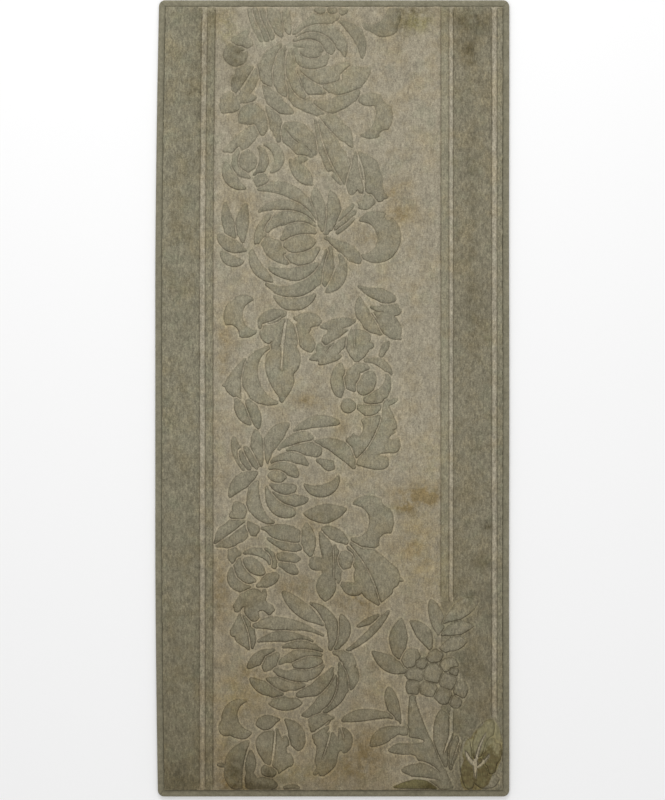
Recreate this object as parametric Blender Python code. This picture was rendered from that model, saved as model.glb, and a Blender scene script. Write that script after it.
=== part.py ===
"""Carved wool rug with four sewn-on tape strips, built as closed solids in metres, lying flat on z = 0."""
import math
from collections import namedtuple

MM = 0.001

# Driving dimensions of the rug, in millimetres.
RUG_WIDTH = 610.0
RUG_LENGTH = 1372.0
CORNER_RADIUS = 11.0
SHARPEST_RADIUS = 0.8
EDGE_DRIFT_TOP_LEFT = 6.5
EDGE_DRIFT_BOTTOM_LEFT = 4.5
GROUND_HEIGHT = 10.5
CREST_HEIGHT = 12.6
GROOVE_FLOOR = 7.8
GROOVE_HALF_WIDTH = 1.6
CARVED_GAP = 2.8
SLOPE_RUN = 1.1
TAPE_COVER = 12.0
TAPE_THICKNESS = 1.2
TAPE_HEIGHT = 6.4
FIT_GAP = 0.4
TONGUE_LOW = 1.7
TONGUE_HIGH = 4.2
PILE_EDGE_BEVEL = 1.2
MITRE_GAP = 0.34
SMALLEST_ISLAND = 30.0
PILE_SPREAD = 0.9

# A blade is a petal, a curled leaf, a bud or a stem: an arc from its root to its tip with a rounded width.
# bow is the rise of the arc to the left of the way from root to tip, widest is where along it the width
# peaks, and the two ends run from 0 (pointed) to 1 (round).
Blade = namedtuple("Blade", "root_x root_y tip_x tip_y bow width widest root_end tip_end")

# A half is one side of a leaf: a midrib arc from root to tip and lobes on one side of it, the left side
# where the width is positive and the right side where it is negative.
Half = namedtuple("Half", "root_x root_y tip_x tip_y bow width widest lobes depth")

# root_x, root_y, tip_x, tip_y, bow, width, widest, root_end, tip_end
TOP_FLOWER = [
    Blade(-123, 613, -145, 676, 0, 9, 0.6, 0.1, 0.5),
    Blade(-112, 615, -137, 679, 0, 9, 0.6, 0.1, 0.5),
    Blade(-102, 618, -126, 679, 0, 9, 0.6, 0.1, 0.5),
    Blade(-87, 621, -107, 680, 2, 20, 0.6, 0.1, 0.6),
    Blade(-75, 627, -80, 672, 0, 11, 0.6, 0.1, 0.6),
    Blade(-66, 627, 10, 658, 6, 22, 0.6, 0.0, 0.6),
    Blade(13, 648, 51, 584, 14, 16, 0.5, 0.3, 0.3),
    Blade(-62, 621, 21, 588, 31, 17, 0.65, 0.0, 0.5),
    Blade(-64, 616, 0, 594, 16, 15, 0.6, 0.0, 0.8),
    Blade(-65, 608, -17, 599, 5, 14, 0.6, 0.1, 0.9),
    Blade(-64, 600, -8, 589, -20, 15, 0.6, 0.0, 0.5),
    Blade(-57, 566, 28, 578, -17, 22, 0.55, 0.2, 0.5),
    Blade(-15, 535, 66, 572, -16, 19, 0.5, 0.2, 0.4),
    Blade(-36, 508, 45, 530, -14, 19, 0.5, 0.2, 0.4),
    Blade(-70, 576, -12, 527, -13, 18, 0.5, 0.1, 0.4),
    Blade(-80, 565, -14, 490, -17, 20, 0.5, 0.1, 0.4),
    Blade(-117, 537, -67, 491, -8, 19, 0.5, 0.3, 0.4),
    Blade(-88, 608, -106, 539, -16, 23, 0.6, 0.0, 0.5),
    Blade(-82, 603, -78, 521, -13, 17, 0.6, 0.0, 0.5),
    Blade(-71, 598, -47, 515, -10, 16, 0.6, 0.0, 0.5),
]
TOP_EDGE = [
    Blade(-30, 671, -10, 671, 0, 18, 0.5, 1.0, 1.0),
    Blade(-10, 671, 10, 671, 0, 18, 0.5, 1.0, 1.0),
    Blade(10, 671, 28, 671, 0, 18, 0.5, 1.0, 1.0),
    Blade(52, 647, 100, 684, -30, 25, 0.6, 0.1, 0.4),
    Blade(59, 523, 48, 453, 36, 26, 0.5, 0.3, 0.1),
    Blade(-187, 592, -146, 592, 0, 38, 0.5, 1.0, 1.0),
    Blade(-165, 606, -143, 632, 3, 13, 0.5, 0.2, 0.3),
]
TOP_LEAVES_LEFT = [
    Half(-135, 570, -168, 520, 0, -22, 0.45, 2, 0.25),
    Half(-132, 568, -165, 515, 0, 15, 0.5, 1, 0.0),
]
TOP_BUD = [
    Blade(-170, 524, -190, 491, 0, 24, 0.6, 0.3, 0.8),
    Blade(-133, 500, -160, 474, 0, 21, 0.6, 0.2, 0.8),
    Blade(-127, 470, -189, 425, 6, 24, 0.45, 0.2, 0.1),
    Blade(-126, 500, -119, 452, 0, 20, 0.5, 0.2, 0.5),
    Blade(-113, 502, -92, 441, 5, 18, 0.5, 0.2, 0.4),
    Blade(-118, 437, -107, 388, 21, 15, 0.5, 0.1, 0.1),
    Blade(-183, 408, -148, 361, -12, 17, 0.5, 0.3, 0.2),
    Blade(-160, 431, -141, 379, -14, 12, 0.5, 0.1, 0.1),
    Blade(-129, 433, -135, 384, 15, 12, 0.5, 0.1, 0.1),
    Blade(-146, 427, -146, 389, 0, 27, 0.5, 0.9, 0.8),
    Blade(-134, 374, -111, 374, 0, 23, 0.5, 1.0, 1.0),
]
UPPER_LEAVES = [
    Half(-82, 473, -29, 418, 0, 25, 0.5, 2, 0.3),
    Half(-85, 471, -32, 416, 0, -20, 0.45, 2, 0.25),
    Half(-20, 485, 35, 431, -4, 26, 0.5, 2, 0.3),
    Half(-24, 478, 20, 368, -6, 30, 0.62, 2, 0.25),
    Half(-28, 478, 16, 368, -6, -9, 0.6, 2, 0.3),
    Half(44, 424, 58, 345, 3, 33, 0.55, 2, 0.28),
    Half(41, 424, 55, 345, 3, -14, 0.5, 1, 0.0),
]
UPPER_STEMS = [
    Blade(-74, 412, -34, 368, -2, 23, 0.55, 0.2, 0.6),
    Blade(45, 328, 74, 342, -3, 9, 0.5, 0.3, 0.3),
    Blade(8, 284, 38, 311, 0, 5, 0.5, 0.7, 0.7),
    Blade(5, 291, 41, 322, 0, 5, 0.5, 0.7, 0.7),
    Blade(2, 299, 37, 334, 0, 5, 0.5, 0.7, 0.7),
]
MIDDLE_FLOWER = [
    Blade(-17, 288, -30, 362, 0, 19, 0.6, 0.0, 0.5),
    Blade(-12, 283, -4, 357, -11, 19, 0.6, 0.0, 0.5),
    Blade(-28, 305, -128, 359, -25, 19, 0.6, 0.0, 0.4),
    Blade(-29, 302, -128, 320, -22, 11, 0.6, 0.0, 0.4),
    Blade(-108, 316, -133, 266, 0, 17, 0.5, 0.3, 0.4),
    Blade(-30, 298, -115, 286, -20, 16, 0.6, 0.0, 0.4),
    Blade(-103, 202, -138, 257, 10, 16, 0.5, 0.1, 0.4),
    Blade(-28, 180, -101, 176, 17, 16, 0.5, 0.2, 0.2),
    Blade(-10, 254, -115, 197, 38, 17, 0.55, 0.1, 0.1),
    Blade(-77, 232, -118, 274, 0, 28, 0.55, 0.2, 0.6),
    Blade(-25, 232, -108, 225, 15, 16, 0.5, 0.1, 0.2),
    Blade(-28, 284, -87, 273, -14, 16, 0.55, 0.0, 0.1),
    Blade(-22, 260, -82, 246, 13, 14, 0.5, 0.1, 0.2),
    Blade(-28, 271, -85, 261, 0, 24, 0.5, 0.1, 0.1),
    Blade(-3, 260, -14, 193, 2, 12, 0.55, 0.1, 0.5),
    Blade(12, 256, -12, 182, 16, 18, 0.6, 0.0, 0.2),
    Blade(-12, 276, 48, 232, 5, 20, 0.65, 0.0, 0.3),
]
UPPER_SIDES = [
    Blade(46, 305, 50, 246, 50, 38, 0.5, 0.2, 0.1),
    Blade(-135, 170, -131, 115, -38, 29, 0.5, 0.3, 0.3),
    Blade(-168, 268, -184, 338, 4, 16, 0.5, 0.2, 0.3),
    Blade(-153, 268, -148, 336, 4, 18, 0.5, 0.2, 0.3),
    Blade(-148, 254, -198, 281, 4, 19, 0.55, 0.3, 0.5),
    Blade(-152, 236, -192, 252, 8, 15, 0.5, 0.5, 0.2),
]
MIDDLE_LEAVES = [
    Half(-83, 138, -90, 92, 0, -36, 0.45, 2, 0.2),
    Half(-89, 89, -88, 0, 0, -25, 0.35, 1, 0.0),
    Half(-80, 138, -87, -7, 0, 27, 0.45, 3, 0.3),
    Half(28, 115, -12, 77, 0, -26, 0.5, 2, 0.28),
    Half(31, 111, -40, 67, -3, 21, 0.55, 1, 0.0),
    Half(34, 119, 40, 64, 0, -11, 0.5, 1, 0.0),
    Half(37, 119, 43, 64, 0, 27, 0.42, 2, 0.35),
    Half(43, 194, 109, 163, -8, 20, 0.62, 1, 0.0),
    Half(47, 176, 84, 109, 0, -21, 0.45, 2, 0.2),
    Half(-143, 72, -158, 0, -7, -24, 0.7, 2, 0.2),
]
MIDDLE_BLADES = [
    Blade(66, 158, 119, 150, -3, 17, 0.6, 0.1, 0.8),
    Blade(66, 147, 112, 102, 8, 30, 0.6, 0.0, 0.7),
    Blade(98, 98, 83, 70, -2, 9, 0.4, 0.4, 0.4),
    Blade(-79, 146, -128, 132, -2, 21, 0.5, 0.3, 0.6),
    Blade(-68, 139, -19, 134, -1, 22, 0.6, 0.1, 0.8),
    Blade(-61, 118, -37, 80, 3, 22, 0.6, 0.1, 0.8),
    Blade(-20, 122, 40, 133, 1, 16, 0.5, 0.2, 0.4),
    Blade(-108, 88, -94, -8, -41, 25, 0.55, 0.2, 0.3),
    Blade(-165, 1, -141, -46, -4, 16, 0.5, 0.3, 0.2),
    Blade(-148, -3, -127, -52, 4, 16, 0.5, 0.2, 0.4),
]
MIDDLE_BUD = [
    Blade(14, 2, 16, 60, 6, 21, 0.5, 0.8, 0.6),
    Blade(38, 12, 27, 46, 3, 16, 0.5, 0.2, 0.5),
    Blade(25, 42, 64, 53, 4, 12, 0.5, 0.1, 0.1),
    Blade(54, -2, 94, 43, -17, 17, 0.4, 0.2, 0.0),
    Blade(48, 7, 71, 45, 0, 25, 0.5, 0.9, 0.8),
    Blade(44, -12, 82, -12, -9, 15, 0.5, 0.3, 0.3),
    Blade(55, 65, 102, 41, 9, 11, 0.6, 0.3, 0.0),
    Blade(15, -13, 39, -13, 0, 22, 0.5, 1.0, 1.0),
]
RIGHT_LEAF = [
    Half(86, -30, 37, -105, 8, -38, 0.45, 2, 0.35),
    Half(92, -2, 41, -113, 10, 50, 0.66, 3, 0.5),
]
LOWER_FLOWER = [
    Blade(-151, -125, -170, -65, 3, 12, 0.6, 0.1, 0.5),
    Blade(-141, -124, -160, -89, 2, 8, 0.5, 0.2, 0.4),
    Blade(-129, -121, -151, -82, 0, 9, 0.5, 0.1, 0.3),
    Blade(-121, -117, -132, -54, 2, 18, 0.6, 0.0, 0.3),
    Blade(-110, -112, -74, -44, 13, 23, 0.6, 0.0, 0.5),
    Blade(-66, -55, 13, -43, 9, 17, 0.55, 0.0, 0.7),
    Blade(-92, -88, -33, -67, 8, 15, 0.65, 0.0, 0.8),
    Blade(-32, -76, 37, -122, 16, 23, 0.55, 0.0, 0.1),
    Blade(-77, -90, -19, -95, 7, 20, 0.7, 0.0, 0.8),
    Blade(-28, -107, 4, -121, 2, 18, 0.65, 0.0, 0.8),
    Blade(-49, -147, 11, -132, -20, 18, 0.5, 0.1, 0.2),
    Blade(-128, -129, -177, -171, -8, 22, 0.5, 0.1, 0.1),
    Blade(-127, -142, -100, -214, -21, 20, 0.45, 0.1, 0.2),
    Blade(-107, -111, -41, -116, 13, 13, 0.6, 0.0, 0.5),
    Blade(-109, -121, -60, -136, 11, 16, 0.65, 0.0, 0.8),
    Blade(-114, -152, -63, -198, -12, 25, 0.6, 0.0, 0.6),
    Blade(-104, -161, -41, -173, -8, 16, 0.6, 0.0, 0.7),
    Blade(-107, -147, -62, -151, -8, 16, 0.6, 0.0, 0.8),
    Blade(-112, -133, -80, -137, 1, 16, 0.55, 0.3, 0.9),
]
LOWER_LEAVES = [
    Blade(58, -322, 16, -317, 9, 20, 0.5, 0.7, 0.1),
    Half(-149, -213, -202, -250, 0, -19, 0.5, 2, 0.25),
    Half(-147, -216, -200, -254, 0, 20, 0.4, 2, 0.25),
    Half(30, -249, 85, -350, 8, 43, 0.66, 2, 0.2),
    Half(27, -254, 80, -356, 8, -25, 0.6, 3, 0.35),
]
LOWER_BLADES = [
    Blade(-152, -205, -168, -178, 0, 20, 0.5, 0.3, 0.7),
    Blade(-145, -212, -131, -237, 0, 14, 0.5, 0.3, 0.5),
    Blade(-122, -223, -51, -239, 0, 27, 0.6, 0.1, 0.8),
    Blade(-112, -241, -51, -257, -5, 11, 0.6, 0.0, 0.5),
    Blade(-100, -271, -54, -277, 0, 14, 0.5, 0.3, 0.6),
    Blade(-95, -285, -59, -302, 3, 14, 0.6, 0.1, 0.6),
    Blade(-119, -259, -99, -293, 4, 14, 0.5, 0.2, 0.3),
    Blade(-45, -214, -38, -271, 0, 21, 0.5, 0.4, 0.7),
    Blade(-50, -198, 25, -190, -4, 29, 0.5, 0.1, 0.1),
    Blade(35, -182, 33, -241, 51, 39, 0.5, 0.2, 0.1),
    Blade(-18, -223, 27, -250, 3, 18, 0.5, 0.2, 0.2),
    Blade(-22, -230, -2, -294, 3, 18, 0.55, 0.1, 0.4),
    Blade(-40, -287, -13, -285, 2, 21, 0.5, 0.5, 0.5),
    Blade(4, -252, 11, -318, 0, 12, 0.5, 0.3, 0.2),
    Blade(-9, -297, -12, -349, 0, 31, 0.5, 0.5, 0.5),
    Blade(9, -278, 36, -278, 0, 28, 0.5, 1.0, 1.0),
    Blade(-167, -258, -172, -283, 0, 22, 0.45, 0.6, 0.4),
]
LOWER_BUD = [
    Blade(-152, -267, -106, -287, 13, 10, 0.5, 0.1, 0.1),
    Blade(-172, -291, -141, -325, -15, 16, 0.5, 0.2, 0.2),
    Blade(-160, -274, -131, -313, -14, 15, 0.5, 0.2, 0.2),
    Blade(-130, -323, -92, -303, -1, 18, 0.6, 0.0, 0.5),
    Blade(-151, -276, -117, -302, 0, 19, 0.5, 0.8, 0.9),
    Blade(-171, -360, -121, -336, 3, 24, 0.6, 0.4, 0.5),
    Blade(-146, -352, -130, -384, 0, 19, 0.4, 0.5, 0.5),
    Blade(-124, -348, -99, -364, -5, 16, 0.6, 0.4, 0.7),
]
LOWER_SPUR = [
    Half(-158, -371, -142, -432, 3, -24, 0.5, 2, 0.3),
    Half(-155, -373, -139, -431, 3, 8, 0.6, 1, 0.0),
]
BOTTOM_FLOWER = [
    Blade(-15, -390, -86, -332, 3, 22, 0.55, 0.1, 0.5),
    Blade(-5, -432, -38, -352, -20, 17, 0.45, 0.0, 0.0),
    Blade(4, -431, 14, -371, -12, 17, 0.55, 0.0, 0.1),
    Blade(-16, -408, -138, -392, -12, 18, 0.65, 0.1, 0.3),
    Blade(-14, -433, -128, -418, -15, 13, 0.65, 0.0, 0.3),
    Blade(-18, -435, -86, -429, -9, 11, 0.5, 0.0, 0.1),
    Blade(-99, -432, -146, -465, -4, 17, 0.55, 0.1, 0.3),
    Blade(-91, -438, -117, -470, -3, 18, 0.55, 0.2, 0.4),
    Blade(-20, -441, -91, -456, -8, 12, 0.6, 0.0, 0.4),
    Blade(-86, -509, -142, -481, 5, 18, 0.55, 0.1, 0.3),
    Blade(-52, -525, -110, -525, 1, 19, 0.5, 0.2, 0.2),
    Blade(-48, -492, -113, -481, 7, 15, 0.55, 0.0, 0.4),
    Blade(22, -450, 32, -500, 9, 18, 0.45, 0.2, 0.2),
    Blade(2, -438, 40, -461, 5, 15, 0.6, 0.0, 0.4),
    Blade(12, -456, -26, -539, 22, 18, 0.5, 0.1, 0.1),
    Blade(8, -478, -53, -546, 12, 17, 0.55, 0.1, 0.2),
    Blade(0, -462, -61, -510, 12, 16, 0.5, 0.0, 0.3),
    Blade(-15, -460, -100, -466, 15, 16, 0.5, 0.0, 0.2),
    Blade(-18, -452, -67, -459, 0, 18, 0.5, 0.3, 0.2),
]
BOTTOM_STEMS = [
    Blade(25, -434, 98, -364, -6, 9, 0.5, 0.5, 0.7),
    Blade(42, -393, 80, -372, -1, 7, 0.5, 0.5, 0.5),
    Blade(-147, -521, -139, -575, -34, 25, 0.55, 0.3, 0.4),
    Blade(-140, -606, -142, -652, 0, 16, 0.5, 0.2, 0.3),
    Blade(-148, -667, -94, -665, 0, 24, 0.5, 0.5, 0.6),
    Blade(-98, -681, -54, -672, 3, 14, 0.6, 0.2, 0.4),
    Blade(-119, -645, -96, -642, 0, 14, 0.5, 0.5, 0.5),
    Blade(-90, -552, -131, -562, -1, 21, 0.6, 0.1, 0.7),
    Blade(-82, -552, -59, -606, 8, 26, 0.55, 0.1, 0.8),
    Blade(4, -549, -40, -564, -2, 22, 0.65, 0.1, 0.7),
    Blade(-6, -566, -34, -586, 0, 14, 0.6, 0.1, 0.7),
    Blade(12, -566, 19, -610, 7, 22, 0.5, 0.1, 0.5),
]
BOTTOM_LEAVES = [
    Half(-143, -590, -153, -684, -5, -34, 0.5, 2, 0.2),
    Half(-99, -573, -107, -634, 0, -28, 0.35, 1, 0.0),
    Half(-96, -568, -104, -648, 0, 29, 0.65, 2, 0.35),
    Half(-3, -574, -20, -650, 0, -17, 0.45, 2, 0.25),
    Half(0, -574, -17, -650, 0, 19, 0.5, 2, 0.25),
]
SPRAY = [
    Blade(118, -552, 16, -554, -9, 17, 0.65, 0.2, 0.4),
    Blade(128, -570, 66, -599, -8, 23, 0.6, 0.1, 0.3),
    Blade(162, -603, 96, -606, -3, 19, 0.5, 0.2, 0.4),
    Blade(184, -647, 119, -640, -3, 21, 0.5, 0.1, 0.4),
    Blade(120, -560, 97, -496, 4, 19, 0.6, 0.0, 0.6),
    Blade(192, -640, 187, -536, -3, 32, 0.6, 0.2, 0.5),
    Blade(206, -682, 137, -504, 17, 31, 0.4, 0.9, 0.3),
    Blade(204, -640, 215, -581, 2, 12, 0.6, 0.1, 0.5),
    Blade(186, -412, 169, -346, -2, 20, 0.55, 0.2, 0.6),
    Blade(190, -387, 251, -346, 2, 25, 0.6, 0.0, 0.3),
    Blade(186, -407, 244, -391, 3, 18, 0.55, 0.1, 0.1),
    Blade(180, -438, 232, -418, 4, 20, 0.6, 0.1, 0.2),
    Blade(168, -432, 133, -383, -7, 22, 0.5, 0.3, 0.0),
    Blade(114, -449, 119, -378, 3, 28, 0.5, 0.1, 0.1),
    Blade(125, -470, 68, -435, 3, 24, 0.45, 0.3, 0.1),
]
FLORETS = [
    Blade(124, -461, 146, -432, 0, 25, 0.5, 0.9, 0.9),
    Blade(128, -476, 157, -474, 0, 20, 0.5, 0.8, 0.8),
    Blade(159, -475, 186, -472, 0, 30, 0.5, 0.9, 0.9),
    Blade(127, -497, 148, -498, 0, 23, 0.5, 0.8, 0.8),
    Blade(152, -501, 178, -500, 0, 22, 0.5, 0.9, 0.9),
    Blade(179, -513, 203, -513, 0, 25, 0.5, 0.9, 0.9),
    Blade(187, -487, 212, -487, 0, 24, 0.5, 0.9, 0.9),
    Blade(211, -501, 233, -501, 0, 28, 0.5, 0.9, 0.9),
    Blade(203, -523, 222, -523, 0, 18, 0.5, 0.9, 0.9),
    Blade(188, -458, 216, -458, 0, 21, 0.5, 0.8, 0.8),
    Blade(164, -447, 190, -438, 0, 17, 0.5, 0.6, 0.6),
    Blade(146, -462, 160, -452, 0, 14, 0.5, 0.9, 0.9),
    Blade(202, -472, 216, -468, 0, 9, 0.5, 0.9, 0.9),
]
OLIVE = [
    Blade(105, -669, 183, -673, 5, 16, 0.55, 0.2, 0.1),
    Blade(236, -674, 230, -584, 0, 24, 0.45, 0.6, 0.5),
    Blade(245, -618, 276, -553, 3, 26, 0.6, 0.1, 0.5),
    Blade(254, -642, 287, -594, -2, 27, 0.6, 0.2, 0.6),
    Blade(246, -663, 287, -655, 0, 24, 0.5, 0.4, 0.8),
]
PAINT_ORDER = [
    TOP_FLOWER, TOP_EDGE, TOP_LEAVES_LEFT, TOP_BUD, UPPER_LEAVES, UPPER_STEMS, UPPER_SIDES,
    MIDDLE_LEAVES, MIDDLE_FLOWER, MIDDLE_BLADES, MIDDLE_BUD, RIGHT_LEAF, LOWER_LEAVES, LOWER_BLADES,
    LOWER_FLOWER, LOWER_BUD, LOWER_SPUR, BOTTOM_FLOWER, BOTTOM_LEAVES, BOTTOM_STEMS, SPRAY, FLORETS, OLIVE,
]

# The carved lines between the stripes: x, the shift of x at the top end, and the ends along y.
Groove = namedtuple("Groove", "x top_shift from_y to_y")
GROOVES = [
    Groove(-228.5, 4.5, -670.5, 670.5),
    Groove(-218.8, 4.5, -670.5, 670.5),
    Groove(-205.2, 4.5, -670.5, 670.5),
    Groove(186.7, 0.0, -343, 670.5),
    Groove(200.8, 0.0, -352, 670.5),
    Groove(208.2, 0.0, -345, 670.5),
    Groove(201.0, 0.0, -583, -537),
    Groove(208.2, 0.0, -583, -537),
    Groove(274.4, 0.0, -548, 670.5),
    Groove(283.4, 0.0, -546, 670.5),
]


def arc_frame(root, tip, bow, t):
    """The point and the left-hand normal at t along the circular arc from root to tip."""
    (rx, ry), (tx, ty) = root, tip
    length = math.hypot(tx - rx, ty - ry)
    ux, uy = (tx - rx) / length, (ty - ry) / length
    nx, ny = -uy, ux
    if abs(bow) < 0.05:
        return (rx + ux * length * t, ry + uy * length * t), (nx, ny)
    radius = (length * length / 4 + bow * bow) / (2 * abs(bow))
    half_turn = 2 * math.atan2(2 * abs(bow), length)
    angle = (2 * t - 1) * half_turn
    side = 1 if bow > 0 else -1
    along = length / 2 + radius * math.sin(angle)
    rise = side * (radius * math.cos(angle) - (radius - abs(bow)))
    normal_along = side * math.sin(angle)
    normal_rise = math.cos(angle)
    point = (rx + ux * along + nx * rise, ry + uy * along + ny * rise)
    normal = (ux * normal_along + nx * normal_rise, uy * normal_along + ny * normal_rise)
    return point, normal


def width_share(t, widest, root_end, tip_end):
    """The share of the full width at t, from pointed to round ends."""
    warp = math.log(0.5) / math.log(min(max(widest, 0.2), 0.8))
    s = t ** warp
    blend = root_end * (1 - t) + tip_end * t
    return math.sin(math.pi * s) ** (0.95 - 0.55 * blend)


def blade_outline(shape, fine=1.0):
    """The closed outline of a blade, anticlockwise, in millimetres."""
    root, tip = (shape.root_x, shape.root_y), (shape.tip_x, shape.tip_y)
    length = math.hypot(tip[0] - root[0], tip[1] - root[1]) + 1.6 * abs(shape.bow)
    steps = max(3, min(8, round(length / 12.0)))
    steps = int(round(steps * fine))
    left, right = [], []
    for k in range(1, steps):
        t = 0.5 - 0.5 * math.cos(math.pi * k / steps)
        (px, py), (nx, ny) = arc_frame(root, tip, shape.bow, t)
        share = width_share(t, shape.widest, shape.root_end, shape.tip_end)
        half = (0.5 * shape.width + PILE_SPREAD) * share
        left.append((px + nx * half, py + ny * half))
        right.append((px - nx * half, py - ny * half))
    return [root] + right + [tip] + left[::-1]


def half_outline(shape, fine=1.0):
    """The closed outline of one lobed side of a leaf, anticlockwise, in millimetres."""
    root, tip = (shape.root_x, shape.root_y), (shape.tip_x, shape.tip_y)
    side = 1 if shape.width > 0 else -1
    steps = int(round((3 + 4 * shape.lobes) * fine))
    outer = []
    for k in range(1, steps):
        t = k / steps
        (px, py), (nx, ny) = arc_frame(root, tip, shape.bow, t)
        share = width_share(t, shape.widest, 0.5, 0.3)
        notch = 1 - abs(math.sin(math.pi * shape.lobes * t)) ** 0.6
        reach = (abs(shape.width) + PILE_SPREAD) * share * (1 - shape.depth * notch * (shape.lobes > 1))
        outer.append((px + side * nx * reach, py + side * ny * reach))
    rib = []
    for k in range(1, int(round(3 * fine))):
        point, _ = arc_frame(root, tip, shape.bow, k / round(3 * fine))
        rib.append(point)
    outline = [root] + rib + [tip] + outer[::-1]
    if side < 0:
        outline.reverse()
    return outline


def outline_of(shape, fine=1.0):
    if isinstance(shape, Blade):
        return blade_outline(shape, fine)
    return half_outline(shape, fine)


def corner_direction(points, k):
    """The outward direction at a corner of an anticlockwise outline, with its short mitre length."""
    ax, ay = points[k - 1]
    bx, by = points[k]
    cx, cy = points[(k + 1) % len(points)]
    d1 = math.hypot(bx - ax, by - ay)
    d2 = math.hypot(cx - bx, cy - by)
    mx = (by - ay) / d1 + (cy - by) / d2
    my = -(bx - ax) / d1 - (cx - bx) / d2
    size = math.hypot(mx, my)
    if size < 0.3:
        tx = (bx - ax) / d1 + (bx - cx) / d2
        ty = (by - ay) / d1 + (by - cy) / d2
        size = math.hypot(tx, ty)
        return 1.9 * tx / size, 1.9 * ty / size
    scale = min(2.0 / size, 1.9)
    return scale * mx / size, scale * my / size


def offset_outline(points, reach):
    """Moves each corner of an anticlockwise outline outward by reach, with short mitres."""
    moved = []
    for k, (x, y) in enumerate(points):
        ox, oy = corner_direction(points, k)
        moved.append((x + reach * ox, y + reach * oy))
    return moved


def left_edge(y):
    """The outer x of the rug on its left side, which draws in toward both ends."""
    top = max(0.0, (y - 200) / 486) ** 1.6
    bottom = max(0.0, (-y - 250) / 436) ** 1.6
    return -RUG_WIDTH / 2 + EDGE_DRIFT_TOP_LEFT * top + EDGE_DRIFT_BOTTOM_LEFT * bottom


def right_edge(y):
    """The outer x of the rug on its right side, with a slow waver of half a millimetre."""
    return RUG_WIDTH / 2 - 0.25 + 0.25 * math.cos(y / 95.0)


# A station is a place on the outer edge with its outward normal. In a corner, side_x and side_y say which
# corner it is, and edge_x and edge_y are the two edge lines that meet there.
Station = namedtuple("Station", "x y normal_x normal_y side_x side_y edge_x edge_y")


def station_point(station, inset):
    """The point at a distance in from the outer edge, with corners that get sharper toward the middle."""
    if station.side_x == 0:
        return station.x - station.normal_x * inset, station.y - station.normal_y * inset
    radius = max(CORNER_RADIUS - inset, SHARPEST_RADIUS)
    x = station.edge_x - station.side_x * (inset + radius) + radius * station.normal_x
    y = station.edge_y - station.side_y * (inset + radius) + radius * station.normal_y
    return x, y


def edge_stations():
    """The outline as four runs of stations, each from one mid-corner to the next."""
    top = RUG_LENGTH / 2
    straight = top - 22
    ys = [straight - k * 2 * straight / 12 for k in range(13)]
    left_top, left_bottom = left_edge(top - CORNER_RADIUS), left_edge(CORNER_RADIUS - top)
    right_top, right_bottom = right_edge(top - CORNER_RADIUS), right_edge(CORNER_RADIUS - top)

    def corner(side_x, side_y, edge_x, start, end):
        turns = [math.radians(start + (end - start) * k / 3) for k in range(4)]
        return [Station(0, 0, math.cos(a), math.sin(a), side_x, side_y, edge_x, side_y * top) for a in turns]

    def side(edge, heights, sign):
        return [Station(edge(y), y, sign, 0.0, 0, 0, 0, 0) for y in heights]

    def cross(x0, x1, sign):
        return [Station(x0 + (x1 - x0) * k / 5, sign * top, 0.0, sign, 0, 0, 0, 0) for k in range(1, 5)]

    left = corner(-1, 1, left_top, 135, 180) + side(left_edge, ys, -1.0) + corner(-1, -1, left_bottom, 180, 225)
    bottom = corner(-1, -1, left_bottom, 225, 270) + cross(left_bottom, right_bottom, -1.0)
    bottom += corner(1, -1, right_bottom, 270, 315)
    right = corner(1, -1, right_bottom, 315, 360) + side(right_edge, ys[::-1], 1.0) + corner(1, 1, right_top, 0, 45)
    upper = corner(1, 1, right_top, 45, 90) + cross(right_top, left_top, 1.0) + corner(-1, 1, left_top, 90, 135)
    return {"left": left, "bottom": bottom, "right": right, "top": upper}


def panel_ring(inset):
    """The whole outline anticlockwise at a distance in from the outer edge."""
    runs = edge_stations()
    ring = []
    for name in ("left", "bottom", "right", "top"):
        ring += [station_point(station, inset) for station in runs[name][:-1]]
    return ring


import bpy
import bmesh
import numpy as np
from mathutils import Vector
from mathutils.geometry import delaunay_2d_cdt


def resampled_edges(loops):
    """One vertex list and one edge list for several closed loops."""
    points, edges = [], []
    for loop in loops:
        base = len(points)
        count = len(loop)
        points += loop
        edges += [(base + k, base + (k + 1) % count) for k in range(count)]
    return points, edges


def groove_x(groove, y):
    """The x of a groove at y, drifting toward the top end as the left stripes do."""
    return groove.x + groove.top_shift * max(0.0, (y - 200) / 486) ** 1.6


def groove_lines(groove):
    """The left lip, floor and right lip of one carved line, from bottom to top."""
    span = groove.to_y - groove.from_y
    steps = max(2, round(span / 110))
    left, floor, right = [], [], []
    for k in range(steps + 1):
        y = groove.from_y + span * k / steps
        x = groove_x(groove, y)
        floor.append((x, y))
        if 0 < k < steps:
            left.append((x - GROOVE_HALF_WIDTH, y))
            right.append((x + GROOVE_HALF_WIDTH, y))
    first = groove.from_y + 3
    last = groove.to_y - 3
    left = [(groove_x(groove, first) - GROOVE_HALF_WIDTH, first)] + left
    left.append((groove_x(groove, last) - GROOVE_HALF_WIDTH, last))
    right = [(groove_x(groove, first) + GROOVE_HALF_WIDTH, first)] + right
    right.append((groove_x(groove, last) + GROOVE_HALF_WIDTH, last))
    return left, floor, right


def inside_and_distance(px, py, outline):
    """Whether each point is inside the outline, and how far it is from its border."""
    inside = np.zeros(len(px), dtype=bool)
    nearest = np.full(len(px), 1e9)
    count = len(outline)
    for k in range(count):
        ax, ay = outline[k]
        bx, by = outline[(k + 1) % count]
        crosses = (ay > py) != (by > py)
        if by != ay:
            at = ax + (py - ay) * (bx - ax) / (by - ay)
            inside ^= crosses & (px < at)
        dx, dy = bx - ax, by - ay
        t = np.clip(((px - ax) * dx + (py - ay) * dy) / (dx * dx + dy * dy), 0, 1)
        gap = np.hypot(px - ax - t * dx, py - ay - t * dy)
        nearest = np.minimum(nearest, gap)
    return inside, nearest


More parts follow.
